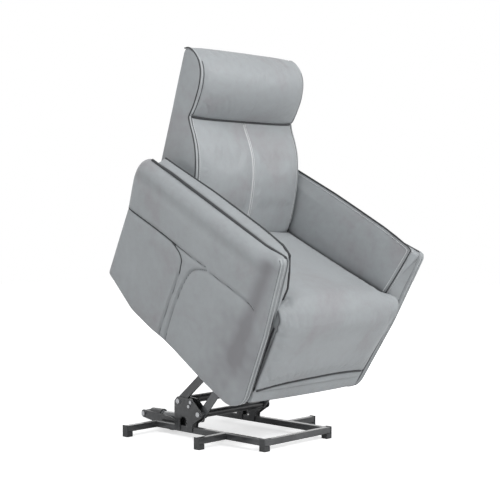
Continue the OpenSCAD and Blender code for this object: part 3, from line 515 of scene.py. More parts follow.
def rounded_outline(corners, radii, step):
    """The arcs of a closed outline, one at each corner, with a point at about every step."""
    pts = [np.array(c, float) for c in corners]
    out = []
    for i, (p, r) in enumerate(zip(pts, radii)):
        a, b = pts[i - 1] - p, pts[(i + 1) % len(pts)] - p
        a, b = a / np.linalg.norm(a), b / np.linalg.norm(b)
        half = math.acos(np.clip(a @ b, -1, 1)) / 2
        centre = p + (a + b) / np.linalg.norm(a + b) * r / math.sin(half)
        first, last = p + a * r / math.tan(half), p + b * r / math.tan(half)
        arc = math.pi - 2 * half
        n = max(3, int(r * arc / step))
        start = math.atan2(*(first - centre)[::-1])
        sweep = (math.atan2(*(last - centre)[::-1]) - start + math.pi) % (2 * math.pi) - math.pi
        angles = start + sweep * np.linspace(0, 1, n)
        out.append(centre + r * np.stack([np.cos(angles), np.sin(angles)], axis=1))
    return out


def distance_to(points, line):
    """Distance from each point to a polyline, in its own plane or in space."""
    pts = np.asarray(points, float)
    flat = pts.reshape(-1, pts.shape[-1])
    best = np.full(len(flat), 1e9)
    line = np.asarray(line, float)
    for a, b in zip(line[:-1], line[1:]):
        d = b - a
        length = d @ d
        if length < 1e-9:
            continue
        t = np.clip((flat - a) @ d / length, 0, 1)
        best = np.minimum(best, np.linalg.norm(flat - a - t[:, None] * d, axis=1))
    return best.reshape(pts.shape[:-1])


def ripple(points, wavelength, seed=0):
    """Smooth noise from -1 to 1 at each point."""
    pts = np.asarray(points, float).reshape(-1, 3) / wavelength
    values = [noise.noise(Vector((p[0] + seed, p[1] - seed, p[2]))) for p in pts]
    return np.array(values).reshape(np.asarray(points).shape[:-1])


def directions(line):
    """Unit vectors along a line at each of its points."""
    step = np.gradient(line, axis=0)
    return step / np.linalg.norm(step, axis=1)[:, None]


def frames_along(path):
    """Unit tangents and two unit side vectors at each point of a path."""
    tangent = directions(path)
    side = np.zeros_like(path)
    guess = np.array([1.0, 0, 0]) if abs(tangent[0][0]) < 0.9 else np.array([0, 1.0, 0])
    for i, t in enumerate(tangent):
        guess = guess - t * (guess @ t)
        guess /= np.linalg.norm(guess)
        side[i] = guess
    return tangent, side, np.cross(tangent, side)


def tube(path, radius, around=10):
    """Verts and faces of a round cord along a path, with domed ends and one radius or one for each point."""
    path = np.asarray(path, float)
    radius = np.broadcast_to(radius, len(path))
    tangent, a, b = frames_along(path)
    turn = np.linspace(0, 2 * math.pi, around, endpoint=False)
    circle = np.cos(turn)[None, :, None] * a[:, None] + np.sin(turn)[None, :, None] * b[:, None]
    rings = [path[0] - tangent[0] * radius[0] * 0.8 + circle[0] * radius[0] * 0.45]
    rings += [p + c * r for p, c, r in zip(path, circle, radius)]
    rings.append(path[-1] + tangent[-1] * radius[-1] * 0.8 + circle[-1] * radius[-1] * 0.45)
    return loft(rings)


def merged(parts):
    """One list of verts and faces from several."""
    verts, faces, start = [], [], 0
    for v, f in parts:
        verts.append(np.asarray(v, float))
        faces += [tuple(i + start for i in face) for face in f]
        start += len(v)
    return np.concatenate(verts), faces


def stitches(path, pitch, length, radius):
    """Separate thread stitches lying along a path."""
    path = np.asarray(path, float)
    total = np.linalg.norm(np.diff(path, axis=0), axis=1).sum()
    count = max(2, int(total / pitch))
    even = resample(path, count * 4 + 1)
    half = length / pitch / 2
    parts = []
    for i in range(count):
        middle = even[i * 4 + 2]
        d = even[i * 4 + 3] - even[i * 4 + 1]
        d = d / np.linalg.norm(d) * half * pitch
        parts.append(tube([middle - d, middle, middle + d], radius, around=6))
    return merged(parts)


def mirrored(points, side):
    return np.asarray(points, float) * np.array([side, 1, 1])


def unit(t):
    """Kept from 0 to 1."""
    return np.clip(t, 0, 1)


def smoothstep(t):
    t = unit(t)
    return t * t * (3 - 2 * t)


def hump(t):
    """1 at zero, falling off to 0 on both sides."""
    return np.exp(-t ** 2)


def line_at(table, x):
    """Height at x of a line given by its corners."""
    return np.interp(x, [p[0] for p in table], [p[1] for p in table])


CORE_VOXEL, CORE_ROUNDS = 6, 4


def add_core(name, node, inset, width=1.0):
    """What fills a cushion: its CAD solid remeshed, rounded, drawn in by inset and made narrower."""
    obj = new_object(name, frame["nodes"][node].data.copy())
    remesh = obj.modifiers.new("remesh", "REMESH")
    remesh.mode = "VOXEL"
    remesh.voxel_size = CORE_VOXEL * MM
    graph = bpy.context.evaluated_depsgraph_get()
    mesh = bpy.data.meshes.new_from_object(obj.evaluated_get(graph))
    obj.modifiers.clear()
    obj.data = mesh
    b = bmesh.new()
    b.from_mesh(mesh)
    for _ in range(CORE_ROUNDS):
        bmesh.ops.smooth_vert(b, verts=b.verts, factor=0.5, use_axis_x=True, use_axis_y=True, use_axis_z=True)
    b.normal_update()
    for v in b.verts:
        v.co -= v.normal * inset * MM
        v.co.x *= width
    b.to_mesh(mesh)
    b.free()
    mesh.materials.clear()
    mesh.materials.append(LEATHER)
    mesh.shade_smooth()
    return obj


# ---------- arm panels ----------
# How far out a panel's outer face stands at its foot, how it leans out, and its thickness
ARM_FOOT = 352
ARM_LEAN = math.radians(7.78)
PANEL_T = 46
SIDES = {"left": 1, "right": -1}
PANEL_CORNERS = [(-3, -61), (205, -63), (400, -55), (480, -55), (560, -63), (690, -63), (880, -8), (870, 313),
                 (898, 537), (150, 582), (52, 600), (15, 300)]
PANEL_RADII = [92, 400, 300, 300, 300, 160, 18, 200, 56, 300, 26, 400]
# Corners that part the outline's bottom, rear, top and front
PANEL_SPLIT = (0, 6, 8, 10)
PANEL_COLS, PANEL_ROWS = 190, 130
PANEL_TOP = [(52, 600), (150, 582), (898, 537)]
POCKET_SEAM = [(868, 313), (800, 320), (720, 329), (640, 336), (575, 340), (553, 341)]
UPPER_SEAM = [(553, 341), (525, 344), (431, 352), (372, 360)]
BRANCH_SEAM = [(575, 338), (545, 333), (520, 325), (500, 308), (495, 290), (490, 254)]
REAR_SEAM = [(490, 254), (497, 100), (501, -44)]
FRONT_SEAM = [(361, 352), (400, 330), (429, 304), (446, 262), (458, 190), (463, 100), (461, -40)]
BRACE_SEAM = [(339, 354), (249, 362), (161, 369), (120, 367), (94, 355)]


def on_panel(ph, n, side):
    """From a panel's own plane, back p and up h, and out n, to the chair."""
    ph = np.asarray(ph, float)
    p, h = ph[..., 0], ph[..., 1]
    n = np.broadcast_to(n, p.shape)
    c, s = math.cos(ARM_LEAN), math.sin(ARM_LEAN)
    return np.stack([side * (ARM_FOOT + n * c + h * s), p, h * c - n * s], axis=-1)


# Millimetres from an edge at which points are set close together
PANEL_STEPS = (0, 0.8, 2.2, 4.2, 7, 10.5, 15)
CUSHION_STEPS = (0, 1.5, 4, 8, 13, 19, 26)
BOARD_STEPS = CUSHION_STEPS[:5]


def close_spaced(count, total, fine):
    """Shares from 0 to 1 of a total in millimetres, with short steps at both ends."""
    ends = np.array(fine) / total
    middle = np.linspace(ends[-1], 1 - ends[-1], count - 2 * (len(fine) - 1))
    return np.concatenate([ends[:-1], middle, (1 - ends[:-1])[::-1]])


def panel_grid():
    """Points all over a panel's face in its own plane, row by row from its foot, and its outline."""
    arcs = rounded_outline(PANEL_CORNERS, PANEL_RADII, 5)
    dense, marks = [], {}
    for i, arc in enumerate(arcs):
        if i in PANEL_SPLIT:
            marks[i] = len(dense) + len(arc) // 2
        dense += list(arc)
    dense = np.array(dense)
    turn = marks[PANEL_SPLIT[0]]
    dense = np.roll(dense, -turn, axis=0)
    cut = [marks[i] - turn for i in PANEL_SPLIT] + [len(dense)]
    loop = np.vstack([dense, dense[:1]])
    bottom, rear, top, front = [resample(loop[a:b + 1], 600) for a, b in zip(cut[:-1], cut[1:])]
    top, front = top[::-1], front[::-1]
    u, v = close_spaced(PANEL_COLS, 880, PANEL_STEPS), close_spaced(PANEL_ROWS, 620, PANEL_STEPS)
    pick = np.linspace(0, 1, 600)

    def at(line, t):
        return np.stack([np.interp(t, pick, line[:, k]) for k in range(2)], axis=-1)
    b, t, f, r = at(bottom, u)[None], at(top, u)[None], at(front, v)[:, None], at(rear, v)[:, None]
    uu, vv = u[None, :, None], v[:, None, None]
    corners = ((1 - uu) * (1 - vv) * bottom[0] + uu * (1 - vv) * bottom[-1]
               + (1 - uu) * vv * top[0] + uu * vv * top[-1])
    return (1 - vv) * b + vv * t + (1 - uu) * f + uu * r - corners, loop


def edge_round(ph):
    """Radius of the panel's rounded edge: small down its front, large along its top."""
    p, h = ph[..., 0], ph[..., 1]
    high = smoothstep((h - line_at(PANEL_TOP, p) + 95) / 60)
    return 13 + smoothstep((p - 50) / 50) + 26 * high * smoothstep((p - 70) / 70)


PANEL_SEAMS = [smooth_curve(s, 60) for s in
               (POCKET_SEAM, UPPER_SEAM, BRANCH_SEAM, REAR_SEAM, FRONT_SEAM, BRACE_SEAM)]
POCKET, UPPER, BRANCH, REAR, FRONT, BRACE = PANEL_SEAMS


def panel_relief(ph, outline):
    """How far the padded outer face stands out, and how near a seam is, at points of a panel's plane."""
    ph = np.asarray(ph, float)
    p, h = ph[..., 0], ph[..., 1]
    edge = distance_to(ph, outline)
    near = np.minimum.reduce([distance_to(ph, s) for s in PANEL_SEAMS])
    pocket = distance_to(ph, POCKET)
    r = edge_round(ph)
    round_off = r - np.sqrt(r * r - np.clip(r - edge, 0, r) ** 2)
    puff = 10 * (1 - np.exp(-np.clip(edge - 4, 0, 400) / 30)) * (1 - 0.6 * np.exp(-near / 20))
    top = line_at(PANEL_TOP, p) - h
    band = 4.0 * hump((top - 42) / 18) - 3.0 * hump((top - 84) / 20)
    band *= smoothstep((p - 60) / 60) * smoothstep((900 - p) / 60)
    hollow = -4 * hump((p - 88) / 26) * unit((h - 20) / 200)
    hollow *= 1 + 0.9 * smoothstep((h - 300) / 60) * smoothstep((575 - h) / 40)
    groove = 3.2 * hump(near / 3.6) + 2.5 * hump(pocket / 6)
    flat = np.dstack([ph.reshape(-1, 1, 2), np.zeros((p.size, 1))])
    soft = (1.3 * ripple(flat, 110, 3) + 0.6 * ripple(flat, 38, 8)).reshape(edge.shape) * unit(edge / 40)
    return puff + band + hollow - groove + soft - round_off, edge, near


def painted_panel_shade(ph):
    """Painted shade on a panel: a band behind its front edge and patches over its lower front, where less light
    falls.
    """
    p, h = ph[..., 0], ph[..., 1]
    front = hump((p - 92) / 36) * smoothstep((h - 40) / 120) * smoothstep((578 - h) / 26)
    low = smoothstep((330 - p) / 200) * smoothstep((350 - h) / 90)
    flat = np.dstack([ph.reshape(-1, 1, 2), np.zeros((p.size, 1))])
    cloud = (0.5 + 0.5 * ripple(flat, 95, 21) + 0.3 * ripple(flat, 35, 5)).reshape(p.shape)
    return np.clip(0.85 * front + 0.55 * low * unit(cloud * 1.3), 0, 0.9)


def add_arm_panels():
    grid, outline = panel_grid()
    outer, edge, near = panel_relief(grid, outline)
    inner = -PANEL_T + 8 - np.sqrt(64 - np.clip(8 - edge, 0, 8) ** 2)
    # Painted shadow: a dark band on the inner edge down the front, where the gap by the leg rest lies in shade
    gap_shadow = smoothstep((9 - edge) / 5) * smoothstep((60 - grid[..., 0]) / 20)
    gap_shadow *= 0.25 + 0.65 * smoothstep((400 - grid[..., 1]) / 40)
    # Painted shade: seam grooves on the outer face, the gap shadow on the inner face
    seams = np.concatenate([hump(near / 2.6).ravel() * 0.45, gap_shadow.ravel()])
    # Painted shade over the outer face's front band and lower front, none on its inner face
    panel_shade = np.concatenate([painted_panel_shade(grid).ravel(), np.zeros(near.size)])
    for name, side in SIDES.items():
        verts, faces = closed_shell(on_panel(grid, outer, side), on_panel(grid, inner, side))
        cover = make_object("arm_cover_" + name, verts, faces, LEATHER, marks=seams, panel_shade=panel_shade)
        upholster(cover, "chair", ("arm_panel_" + name,))
        add_panel_seams(name, side, outline)


def lifted(ph, outline, up, side):
    """A line lying on a panel's padded face, up millimetres above it."""
    return on_panel(ph, panel_relief(np.asarray(ph, float)[:, None], outline)[0][:, 0] + up, side)


def beside(line, offset):
    """A flat line moved sideways by offset."""
    step = directions(line)
    return line + offset * np.stack([-step[:, 1], step[:, 0]], axis=1)


def add_panel_seams(name, side, outline):
    dark, stitched = [], []
    for seam, radius in ((POCKET, 3.4), (BRANCH, 2.6)):
        dark.append(tube(lifted(seam, outline, 1.6, side), radius))
    # Thin dark cords in the seam grooves: painted shade
    for seam, radius in ((UPPER, 1.3), (REAR, 0.9), (FRONT, 0.9), (BRACE, 0.9)):
        dark.append(tube(lifted(seam, outline, 0.5, side), radius, 8))
    for seam, count, offset in ((REAR, 160, 7), (FRONT, 160, 7), (POCKET, 120, -8), (UPPER, 120, -8),
                                (BRACE, 120, -8)):
        row = lifted(beside(resample(seam, count), offset), outline, 0.6, side)
        stitched.append(stitches(row, 8, 5.5, 0.7))
    ahead = outline[(outline[:, 0] < 62) & (outline[:, 1] > -20)]
    ahead = ahead[np.argsort(ahead[:, 1])]
    ahead = resample(ahead[ahead[:, 1] < 596], 150)
    # A thin dark cord beside the front welts: painted shade of their groove
    dark.append(tube(on_panel(beside(ahead, -1.8), -8.6, side), 1.0, 8))
    add_trim("arm_seams_and_shade_lines_" + name, dark, PIPING_AND_SHADE, "chair")
    welts = [tube(on_panel(beside(ahead, -0.6), n, side), 3.0) for n in (-13, -29)]
    add_trim("arm_welts_" + name, welts, WELT, "chair")
    stitched.append(stitches(on_panel(beside(ahead, 0.4), -21, side), 8, 5.5, 0.9))
    add_trim("arm_stitches_" + name, stitched, GREY_THREAD, "chair")


# ---------- inner arm pads ----------
PAD_TOP = [(40, 590), (98, 600), (170, 602), (237, 602), (380, 595), (520, 587), (741, 567), (840, 559)]
GAP_LINE = [(40, 595), (93, 588), (171, 577), (456, 563), (730, 548), (792, 541), (860, 537)]
PAD_FRONTS = {"right": [(300, 84), (404, 74), (423, 60), (472, 56), (531, 70), (589, 90), (640, 100)],
              "left": [(300, 70), (398, 67), (461, 67), (522, 70), (562, 73), (602, 77), (640, 82)]}
PANEL_FRONT = [(300, 17), (404, 27), (500, 38), (560, 46), (590, 52), (640, 56)]
INNER_FACE = [(303, 300), (303.5, 345), (308, 405), (318, 460), (331, 520), (343, 572), (349, 598), (352, 620)]
PAD_FOREMOST, PAD_REAR = 40, 826
PAD_AROUND = 96
PAD_END_STEPS = np.array([0, 1.2, 3.5, 7, 11, 16, 22])
# Where a pad's top piping starts to turn down, how high it is then, and its radius along the top and down the front
# The right pad's front piping is drawn thicker to paint the shadow along that edge
PAD_PIPING = {"right": (128, 590, 3.8, 4.9), "left": (92, 597, 3.2, 2.4)}


def arm_inner(z):
    """How far out an arm panel's inner face stands at height z."""
    return ARM_FOOT + z * math.tan(ARM_LEAN) - PANEL_T / math.cos(ARM_LEAN)


def inner_face(z):
    """How far out an arm pad's inner face stands at height z."""
    return line_at([(height, x) for x, height in INNER_FACE], z)


def pad_ring(y):
    top, gap = line_at(PAD_TOP, y), line_at(GAP_LINE, y)
    pts = [(303, 300), (303.5, 345), (308, 405), (317, 460), (329, 520), (341, top - 26), (347.5, top - 6),
           (351, top + 1.5), (359, top + 3), (370, top - 2 - (top - gap) * 0.22), (381, gap + (top - gap) * 0.42),
           (388, gap + 5), (390.5, gap - 2)]
    pts += [(arm_inner(z) - 0.8, z) for z in (gap - 16, 480, 420, 360, 300)]
    return resample(pts, PAD_AROUND, closed=True)


def pad_rings(front_line):
    ys = np.concatenate([PAD_FOREMOST + PAD_END_STEPS, np.linspace(70, PAD_REAR - 30, 150),
                         PAD_REAR - PAD_END_STEPS[::-1]])
    rings = []
    for y in ys:
        ring = pad_ring(y)
        r = 9 if y < 400 else 24
        shrink = r - math.sqrt(max(0, r ** 2 - max(0, r - min(y - PAD_FOREMOST, PAD_REAR - y)) ** 2))
        middle = ring.mean(axis=0)
        away = ring - middle
        away *= (1 - shrink / np.linalg.norm(away, axis=1).clip(30))[:, None]
        ring = middle + away
        x_in = inner_face(ring[:, 1])
        across = smoothstep((ring[:, 0] - x_in) / (arm_inner(ring[:, 1]) - x_in).clip(10))
        start = line_at(front_line, ring[:, 1]) * (1 - across) + (line_at(PANEL_FRONT, ring[:, 1]) + 1) * across
        front = (start - PAD_FOREMOST) * (1 - smoothstep((y - PAD_FOREMOST) / 130))
        rings.append(np.column_stack([ring[:, 0], y + front, ring[:, 1]]))
    rings = np.array(rings)
    x, y, z = rings[..., 0], rings[..., 1], rings[..., 2]
    crown = unit((z - line_at(GAP_LINE, y)) / 26) * unit((x - 351) / 8)
    gather = np.sin(y / 15 * 2 * math.pi + 2.2 * ripple(rings, 60, 9)) * (0.6 + 0.6 * ripple(rings, 90, 2))
    z += crown * (1.5 * gather + 1.0 * ripple(rings, 45, 5))
    face = unit((350 - x) / 8) * unit((z - 380) / 40)
    swell = 5 * np.sin(math.pi * unit((z - 380) / 210)) * unit((y - 70) / 60)
    x -= face * (swell + 1.4 * ripple(rings, 130, 4))
    return rings


def pad_shade(rings):
    """Painted shade where the pad meets the seat, along the panel's gap and beside its own piping."""
    x, y, z = rings[..., 0], rings[..., 1], rings[..., 2]
    above = np.clip(z - line_at(SEAT_LINE[8::-1], y), 0, None)
    foot = (0.55 * hump(above / 7) + 0.28 * hump(above / 32)) * (x < 345)
    strip = (x > 350) * (z > 500)
    gap = 0.55 * hump((x - 391) / 6) * strip
    piping_shade = 0.35 * hump((x - 353) / 5) * strip
    return np.maximum.reduce([foot, gap, piping_shade])


def add_arm_pads():
    for name, side in SIDES.items():
        rings = pad_rings(PAD_FRONTS[name])
        verts, faces = loft(mirrored(rings, side))
        cover = make_object("arm_pad_cover_" + name, verts, faces, LEATHER, marks=pad_shade(rings))
        upholster(cover, "chair", ("arm_pad_" + name,))
        add_pad_piping(name, side, PAD_FRONTS[name])


def add_pad_piping(name, side, front_line):
    first, highest, along_top, down_front = PAD_PIPING[name]
    top = [(351, y, line_at(PAD_TOP, y) + 3.2) for y in np.linspace(PAD_REAR - 8, first, 60)]
    heights = np.linspace(highest, 404, 40)
    xs = inner_face(heights)
    front = [(x + 0.5, line_at(front_line, z) - 1.2, z) for x, z in zip(xs, heights)]
    path = smooth_curve(top + front, 260)
    radius = along_top + (down_front - along_top) * smoothstep((170 - path[:, 1]) / 60)
    # A dark cord along the gap between pad and panel: painted shadow of that gap
    gap = smooth_curve([(391.5, y, line_at(GAP_LINE, y) + 3) for y in np.linspace(840, 66, 40)], 160)
    cords = [tube(mirrored(path, side), radius), tube(mirrored(gap, side), 5.6)]
    add_trim("arm_piping_and_gap_shadow_" + name, cords, PIPING_AND_SHADE, "chair")
    inside = [(346, y, line_at(PAD_TOP, y) - 8) for y in np.linspace(PAD_REAR - 8, first, 60)]
    inside += [(x - 1.6, line_at(front_line, z) + 12, z) for x, z in zip(xs[3:], heights[3:])]
    outside = [(x + 10, line_at(front_line, z) - 3.4, z) for x, z in zip(xs, heights)]
    rows = [stitches(mirrored(smooth_curve(line, 240), side), 8, 6, 1.2) for line in (inside, outside)]
    add_trim("arm_pad_stitches_" + name, rows, THREAD, "chair")


# ---------- seat and leg rest ----------
# The cover's middle line from the seat's rear, over the front edge and down to the leg rest's foot
SEAT_LINE = [(618, 343), (500, 353), (350, 368), (200, 387), (120, 396), (80, 401), (60, 403), (40, 400), (20, 391),
             (4, 372), (-2, 346), (-3, 320), (-2, 296), (0, 250), (0, 180), (0, 110), (-0.5, 80),
             (-1, 62), (-1.5, 52), (-1.5, 46.5)]
SEAT_HALF = 299


def low_seam(x):
    """Height of the seam across the foot of the leg rest's front, a little higher at its far end."""
    x = np.asarray(x)
    return 76 + 0.035 * x - 13 * np.abs(x / 300) ** 3


def add_seat():
    """The one cover of seat and leg rest, with its crown, its low seam and the creases at its front edge."""
    line = smooth_curve(SEAT_LINE, 190)
    step = directions(line)
    out = np.stack([step[:, 1], -step[:, 0]], axis=1)
    out *= np.sign(out[10, 1])
    wide = arm_inner(line[:, 1]) - 1.6 - 3.4 * smoothstep((line[:, 1] - 100) / 90)
    half = SEAT_HALF + (wide - SEAT_HALF) * smoothstep((76 - line[:, 0]) / 40)
    share = close_spaced(110, 600, CUSHION_STEPS) * 2 - 1
    edge = (1 - np.abs(share))[None] * half[:, None]
    along = np.concatenate([[0], np.cumsum(np.linalg.norm(np.diff(line, axis=0), axis=1))])
    front_part = smoothstep((110 - line[:, 0]) / 90)[:, None]
    crown = (22 - 12 * front_part) * (1 - np.exp(-edge / (60 - 32 * front_part))) + 2 * (1 - np.exp(-edge / 6)) - 2
    x = share[None] * half[:, None]
    height = line[:, 1][:, None] + 0 * crown
    seam = low_seam(x)
    fade = unit((height - seam) / 60)
    crown = np.where((line[:, 0] < 70)[:, None], crown * (0.15 + 0.85 * np.sin(fade * math.pi / 2)), crown)
    crown *= 1 - np.exp(-along[:, None] / 30)
    base = line[:, None, :] + out[:, None, :] * crown[..., None]
    rows = (line[:, 0] < 40)[:, None]
    gap = np.where(rows, height - seam, 99)
    base -= out[:, None, :] * (4.5 * hump(gap / 5))[..., None]
    wander = 14 * np.sin(x / 130)
    crease = 3.0 * hump((base[..., 1] - 348 - wander) / 11) * (0.6 + 0.4 * np.sin(x / 90 + 1))
    crease += 2.6 * hump((base[..., 1] - 292 + 0.6 * wander) / 12) * (0.5 + 0.5 * np.sin(x / 110 - 1))
    crease *= unit((60 - base[..., 0]) / 30)
    side_fold = np.exp(-edge / 30) * hump((height - 322) / 34) * (line[:, 0] < 60)[:, None]
    crease += 3.0 * side_fold * (1 + np.sin(height / 5.2 + x / 24))
    base -= out[:, None, :] * crease[..., None]
    outer = np.dstack([x, base])
    skin = 1.3 + 8 * smoothstep((line[:, 1] - 50) / 26)
    inner = np.dstack([x * 0.994, line[:, None, :] - (out * skin[:, None])[:, None, :] + 0 * base])
    verts, faces = closed_shell(outer, inner)
    # Painted shade along the seat's sides by the arm pads, at its rear by the back, and in the crevice of its low
    # seam
    edge_shade = 0.85 * hump(edge / 4.5) + 0.7 * hump(along[:, None] / 8)
    marks = np.concatenate([np.maximum(0.5 * hump(gap / 4), edge_shade).ravel(), np.zeros(gap.size)])
    loose = smoothstep((edge - 6) / 26) * smoothstep((gap - 12) / 30) * smoothstep((along[:, None] - 20) / 30)
    held = np.concatenate([(1 - loose).ravel(), np.ones(gap.size)])
    return make_object("seat_cover", verts, faces, LEATHER, marks=marks, hold=held)


def hinge_seat(cover):
    """Bake the seat's one cover where it stands, and dress what lies under it."""
    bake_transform(cover)
    upholster(cover, None)
    upholster(add_core("seat_core", "seat_cushion", 3), "chair", ("seat_cushion",))
    upholster(add_core("leg_core", "legrest_pad", 2, 0.985), "legrest", ("legrest_pad",))
    xs = np.linspace(-298, 298, 90)
    path = np.stack([xs, 0 * xs - 1.2, low_seam(xs)], axis=1)
    add_trim("leg_piping", [tube(path, 3.8)], PIPING_AND_SHADE, "legrest")
    # Dark strips in the gaps between the leg rest and the arm panels: painted shadow of those gaps
    heights = np.linspace(47.5, 326, 24)
    strip = np.array([[(290, 14, z), (arm_inner(z) - 1.2, 14, z), (arm_inner(z) - 1.2, 17, z), (290, 17, z)]
                      for z in heights])
    add_trim("leg_gap_shadow_strips", [loft(mirrored(strip, side)) for side in (-1, 1)], PIPING_AND_SHADE, "legrest", False)


# ---------- back and headrest ----------
BACK_HALF = 294
BACK_FRONT = [(664, 262), (634, 299), (622, 345), (636, 410), (657, 477), (681, 540), (705, 590), (741, 645),
              (780, 685), (818, 716), (838, 738), (834, 768), (834, 798), (840, 851), (856, 895), (878, 926),
              (902, 946), (926, 957)]
BACK_REAR = [(714, 262), (716, 292), (842, 298), (868, 385), (888, 477), (903, 540), (915, 590), (929, 650),
             (941, 700), (948, 730), (954, 752), (961, 780), (969, 812), (981, 862), (992, 908), (998, 940),
             (984, 957), (956, 962)]
# Number of the front line's point at the crease under the headrest
CREASE_AT = 10
# Points across the front of a ring, and up the front of the headrest
FRONT_POINTS, HEAD_POINTS = 90, 90
# Depth of the groove down the middle of the lumbar cushion
CENTRE_SPLIT = 4.5


def back_lines(first, last, count):
    """Matching points up the front and rear of the back's side, between two numbered stations."""
    both = np.hstack([np.array(BACK_FRONT, float), np.array(BACK_REAR, float)])
    line = smooth_curve(both[first:last + 1], count)
    return line[:, :2], line[:, 2:]


def back_rings(front, rear, full, bulge, rear_round=11, side_puff=4, depth=None, split=0.0):
    """Rings around the back at each height: across its front, round a side, across the rear and home."""
    share = close_spaced(FRONT_POINTS, 2 * full, CUSHION_STEPS) * 2 - 1
    rings = []
    for f, r, b in zip(front, rear, bulge):
        high = smoothstep((f[1] - 375) / 60)
        half = full - 5.5 * (1 - high)
        d = r - f
        length = np.linalg.norm(d)
        d = d / length
        if depth:
            length = min(length, depth)
        ring = [(x, -front_bulge(x, b, split)) for x in share * half]
        turn = min(rear_round, length / 2 - 1)
        side = np.linspace(0.06, 1, 14)[:-1] * (length - turn)
        puffed = half + side_puff * high * np.sin(np.pi * side / (length - turn + 1)) * min(1, length / 120)
        arc = np.linspace(0, math.pi / 2, 6)
        corner = [(half - turn + turn * math.cos(a), length - turn + turn * math.sin(a)) for a in arc]
        right = list(zip(puffed, side)) + corner
        across = np.linspace(half - turn, turn - half, 40)[1:-1]
        rear_line = [(x, length + 3 * (1 - (x / half) ** 2)) for x in across]
        left = [(-x, t) for x, t in reversed(right)]
        ring += right + rear_line + left
        rings.append([(x, f[0] + d[0] * t, f[1] + d[1] * t) for x, t in ring])
    return np.array(rings)


def front_hold(rings, seams):
    """Hold of a cushion's points: loose on its front only, between seams at the given x and its two ends."""
    held = np.ones(rings.shape[:2])
    x = np.abs(rings[:, :FRONT_POINTS, 0])
    near = np.minimum.reduce([np.abs(x - seam) for seam in seams])
    row = np.arange(len(rings))
    end = np.minimum((row - 46) / 22, (len(rings) - 13 - row) / 8)[:, None]
    held[:, :FRONT_POINTS] = np.maximum(1 - smoothstep((near - 9) / 14), 1 - smoothstep(end))
    return held


def front_bulge(x, b, split):
    """How far the front of a back cushion stands ahead of its piping, at x across."""
    edge = BACK_HALF - np.abs(x)
    out = b * (1 - np.exp(-edge / 55)) + 3 * (1 - np.exp(-edge / 8))
    return out - split * hump(x / 5.0)


HEAD_LINE = [(848, 739), (837, 751), (836, 776), (838, 804), (845, 851), (858, 893), (877, 924), (902, 946),
             (926, 957), (950, 963), (974, 962), (993, 950)]


def head_grow(x):
    """Share of the headrest's bulge that shows at x across: little at its sides, nearly all in the middle."""
    edge = BACK_HALF - 1 - abs(x)
    return (1 - math.exp(-edge / 50)) + 0.09 * (1 - math.exp(-edge / 6))


def head_rings():
    """The headrest's roll, from side to side: its front and top swell out beyond its side piping."""
    line = smooth_curve(HEAD_LINE, HEAD_POINTS)
    step = directions(line)
    out = np.stack([-step[:, 1], step[:, 0]], axis=1)
    t = np.linspace(0, 1, len(line))
    bulge = 36 * unit(np.sin(np.pi * np.clip(0.02 + t * 0.99, 0, 1))) ** 0.6
    bulge = bulge * (1 - 0.5 * smoothstep((t - 0.6) / 0.3))
    back = np.array([(976, 925), (950, 860), (925, 800), (900, 752), (870, 738)], float)
    xs = (close_spaced(100, 590, CUSHION_STEPS) * 2 - 1) * (BACK_HALF - 1)
    rings = []
    for x in xs:
        ring = np.vstack([line + out * (bulge * head_grow(x))[:, None], back])
        rings.append(np.column_stack([np.full(len(ring), x), ring]))
    return np.array(rings), line, out, bulge


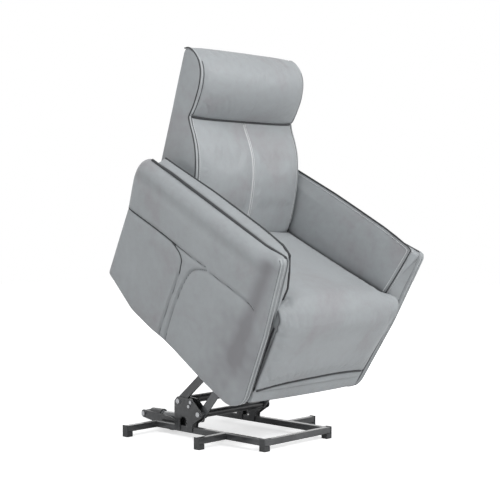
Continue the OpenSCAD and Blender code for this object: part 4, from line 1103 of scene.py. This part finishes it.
def add_back():
    """The back's body, its lumbar cushion and its headrest, and the two that settle."""
    front, rear = back_lines(0, len(BACK_FRONT) - 1, 170)
    body = back_rings(front, rear, BACK_HALF, np.full(len(front), -3.0))
    upholster(make_object("back_body", *loft(body), LEATHER), "backrest", ("rear_panel",))
    low_front, low_rear = back_lines(0, CREASE_AT, 130)
    up = np.linspace(0, 1, len(low_front))
    low_bulge = 30 * unit(np.sin(np.pi * np.clip((up - 0.1) / 0.9, 0, 1))) ** 0.6
    lumbar = back_rings(low_front, low_rear, BACK_HALF - 1.5, low_bulge, 8, 0, 60, CENTRE_SPLIT)
    # Painted shade along the lumbar cushion's foot, where it meets the seat
    marks = 0.6 * hump((lumbar[..., 2] - 349) / 7)
    back_pad = make_object("back_pad", *loft(lumbar), LEATHER, marks=marks,
                           hold=front_hold(lumbar, (0, BACK_HALF - 6)))
    upholster(back_pad, "backrest", ("back_cushion",))
    head, head_line, head_out, head_bulge = head_rings()
    held = np.ones(head.shape[:2])
    row = np.arange(HEAD_POINTS)
    end = (np.minimum(row, HEAD_POINTS - 1 - row) - 3) / 8.0
    side = (BACK_HALF - 8 - np.abs(head[:, :HEAD_POINTS, 0])) / 14
    held[:, :HEAD_POINTS] = np.maximum(1 - smoothstep(side), 1 - smoothstep(end)[None])
    head_pad = make_object("head_pad", *loft(head), LEATHER, hold=held)
    upholster(head_pad, "backrest", ("headrest",))

    def on_lumbar(x, above, first, last=None):
        """A line up the lumbar cushion's front at x across, from one of its points to another."""
        f, r = low_front[first:last], low_rear[first:last]
        d = (r - f) / np.linalg.norm(r - f, axis=1)[:, None]
        out = front_bulge(x, low_bulge[first:last], CENTRE_SPLIT) + above
        return np.column_stack([np.full(len(f), x), f - d * out[:, None]])

    def on_head(x):
        return np.column_stack([np.full(HEAD_POINTS, x), head_line + head_out * (head_bulge * head_grow(x))[:, None]])

    crease_point = int(np.argmin(np.abs(front - np.array(BACK_FRONT[CREASE_AT])).sum(axis=1)))
    side_line = smooth_curve(np.vstack([front[44:crease_point], HEAD_LINE[1:]]), 280)
    dark, pale, threads = [], [], []
    for s in (-1, 1):
        x = np.full(len(side_line), s * (BACK_HALF + 0.8))
        # Dark cords at the boxing and beside each pale welt: painted shade of their grooves
        dark.append(tube(np.column_stack([x, side_line[:, 0] + 4.5, side_line[:, 1]]), 2.5))
        welt, inner_line, row = s * (BACK_HALF - 2.6), s * (BACK_HALF - 8.2), s * (BACK_HALF - 13)
        pale += [tube(on_lumbar(welt, -0.4, 40), 3.1), tube(on_head(welt), 3.1)]
        dark += [tube(on_lumbar(inner_line, 0, 40), 1.4, 8), tube(on_head(inner_line)[:62], 1.5, 8)]
        threads.append(stitches(on_lumbar(row, 0.6, 40), 8, 6, 1.0))
    threads.append(tube(on_lumbar(0.0, 0.8, 24, -3), 1.8))
    threads += [stitches(on_lumbar(x, 0.6, 22), 8.5, 6.8, 1.5) for x in (-5.5, 5.5)]
    crease = np.linspace(-283, 283, 60)
    # A dark cord in the crease under the headrest: painted shadow of the crease
    dark.append(tube(np.stack([crease, 829 + 8 * np.abs(crease / 283) ** 6, 0 * crease + 738], axis=1), 5.5))
    add_trim("back_piping_and_shade_lines", dark, PIPING_AND_SHADE, "backrest")
    add_trim("back_welts", pale, WELT, "backrest")
    add_trim("back_stitches", threads, THREAD, "backrest")
    return back_pad, head_pad


# ---------- low panels ----------
# Each panel's outer and inner face, lower and upper edge, crown and the inner top's drop
LOW_PANELS = {"front_lower_panel": (0.5, 20, -11, 49.4, 2, 2), "rear_lower_panel": (873, 851, 34, 283, -4, 46)}


def board_cover(y0, y1, low, high, puff, drop):
    """Padded board between the arm panels, crowned on its outward face, with a slightly sagging foot."""
    xs = close_spaced(90, 620, BOARD_STEPS) * 2 - 1
    rings = []
    for x in xs:
        low_z = low + 6 * abs(x) ** 3
        ring = [(y1, low_z + 6), (y1, high - drop), (y1 * 0.2 + y0 * 0.8, high), (y0, high - 2),
                (y0 - puff, (low_z + high) / 2), (y0, low_z + 8), (y0 + 7, low_z)]
        ring = smooth_curve(ring, 40, closed=True)
        rings.append([(x * (arm_inner(z) - 0.8), y, z) for y, z in ring])
    return loft(rings)


def add_low_panels():
    for name, sizes in LOW_PANELS.items():
        verts, faces = board_cover(*sizes)
        upholster(make_object(name + "_cover", verts, faces, LEATHER), "chair", (name,))


add_arm_panels()
add_arm_pads()
seat_top = add_seat()
settle([seat_top, *add_back()])
hinge_seat(seat_top)
add_low_panels()
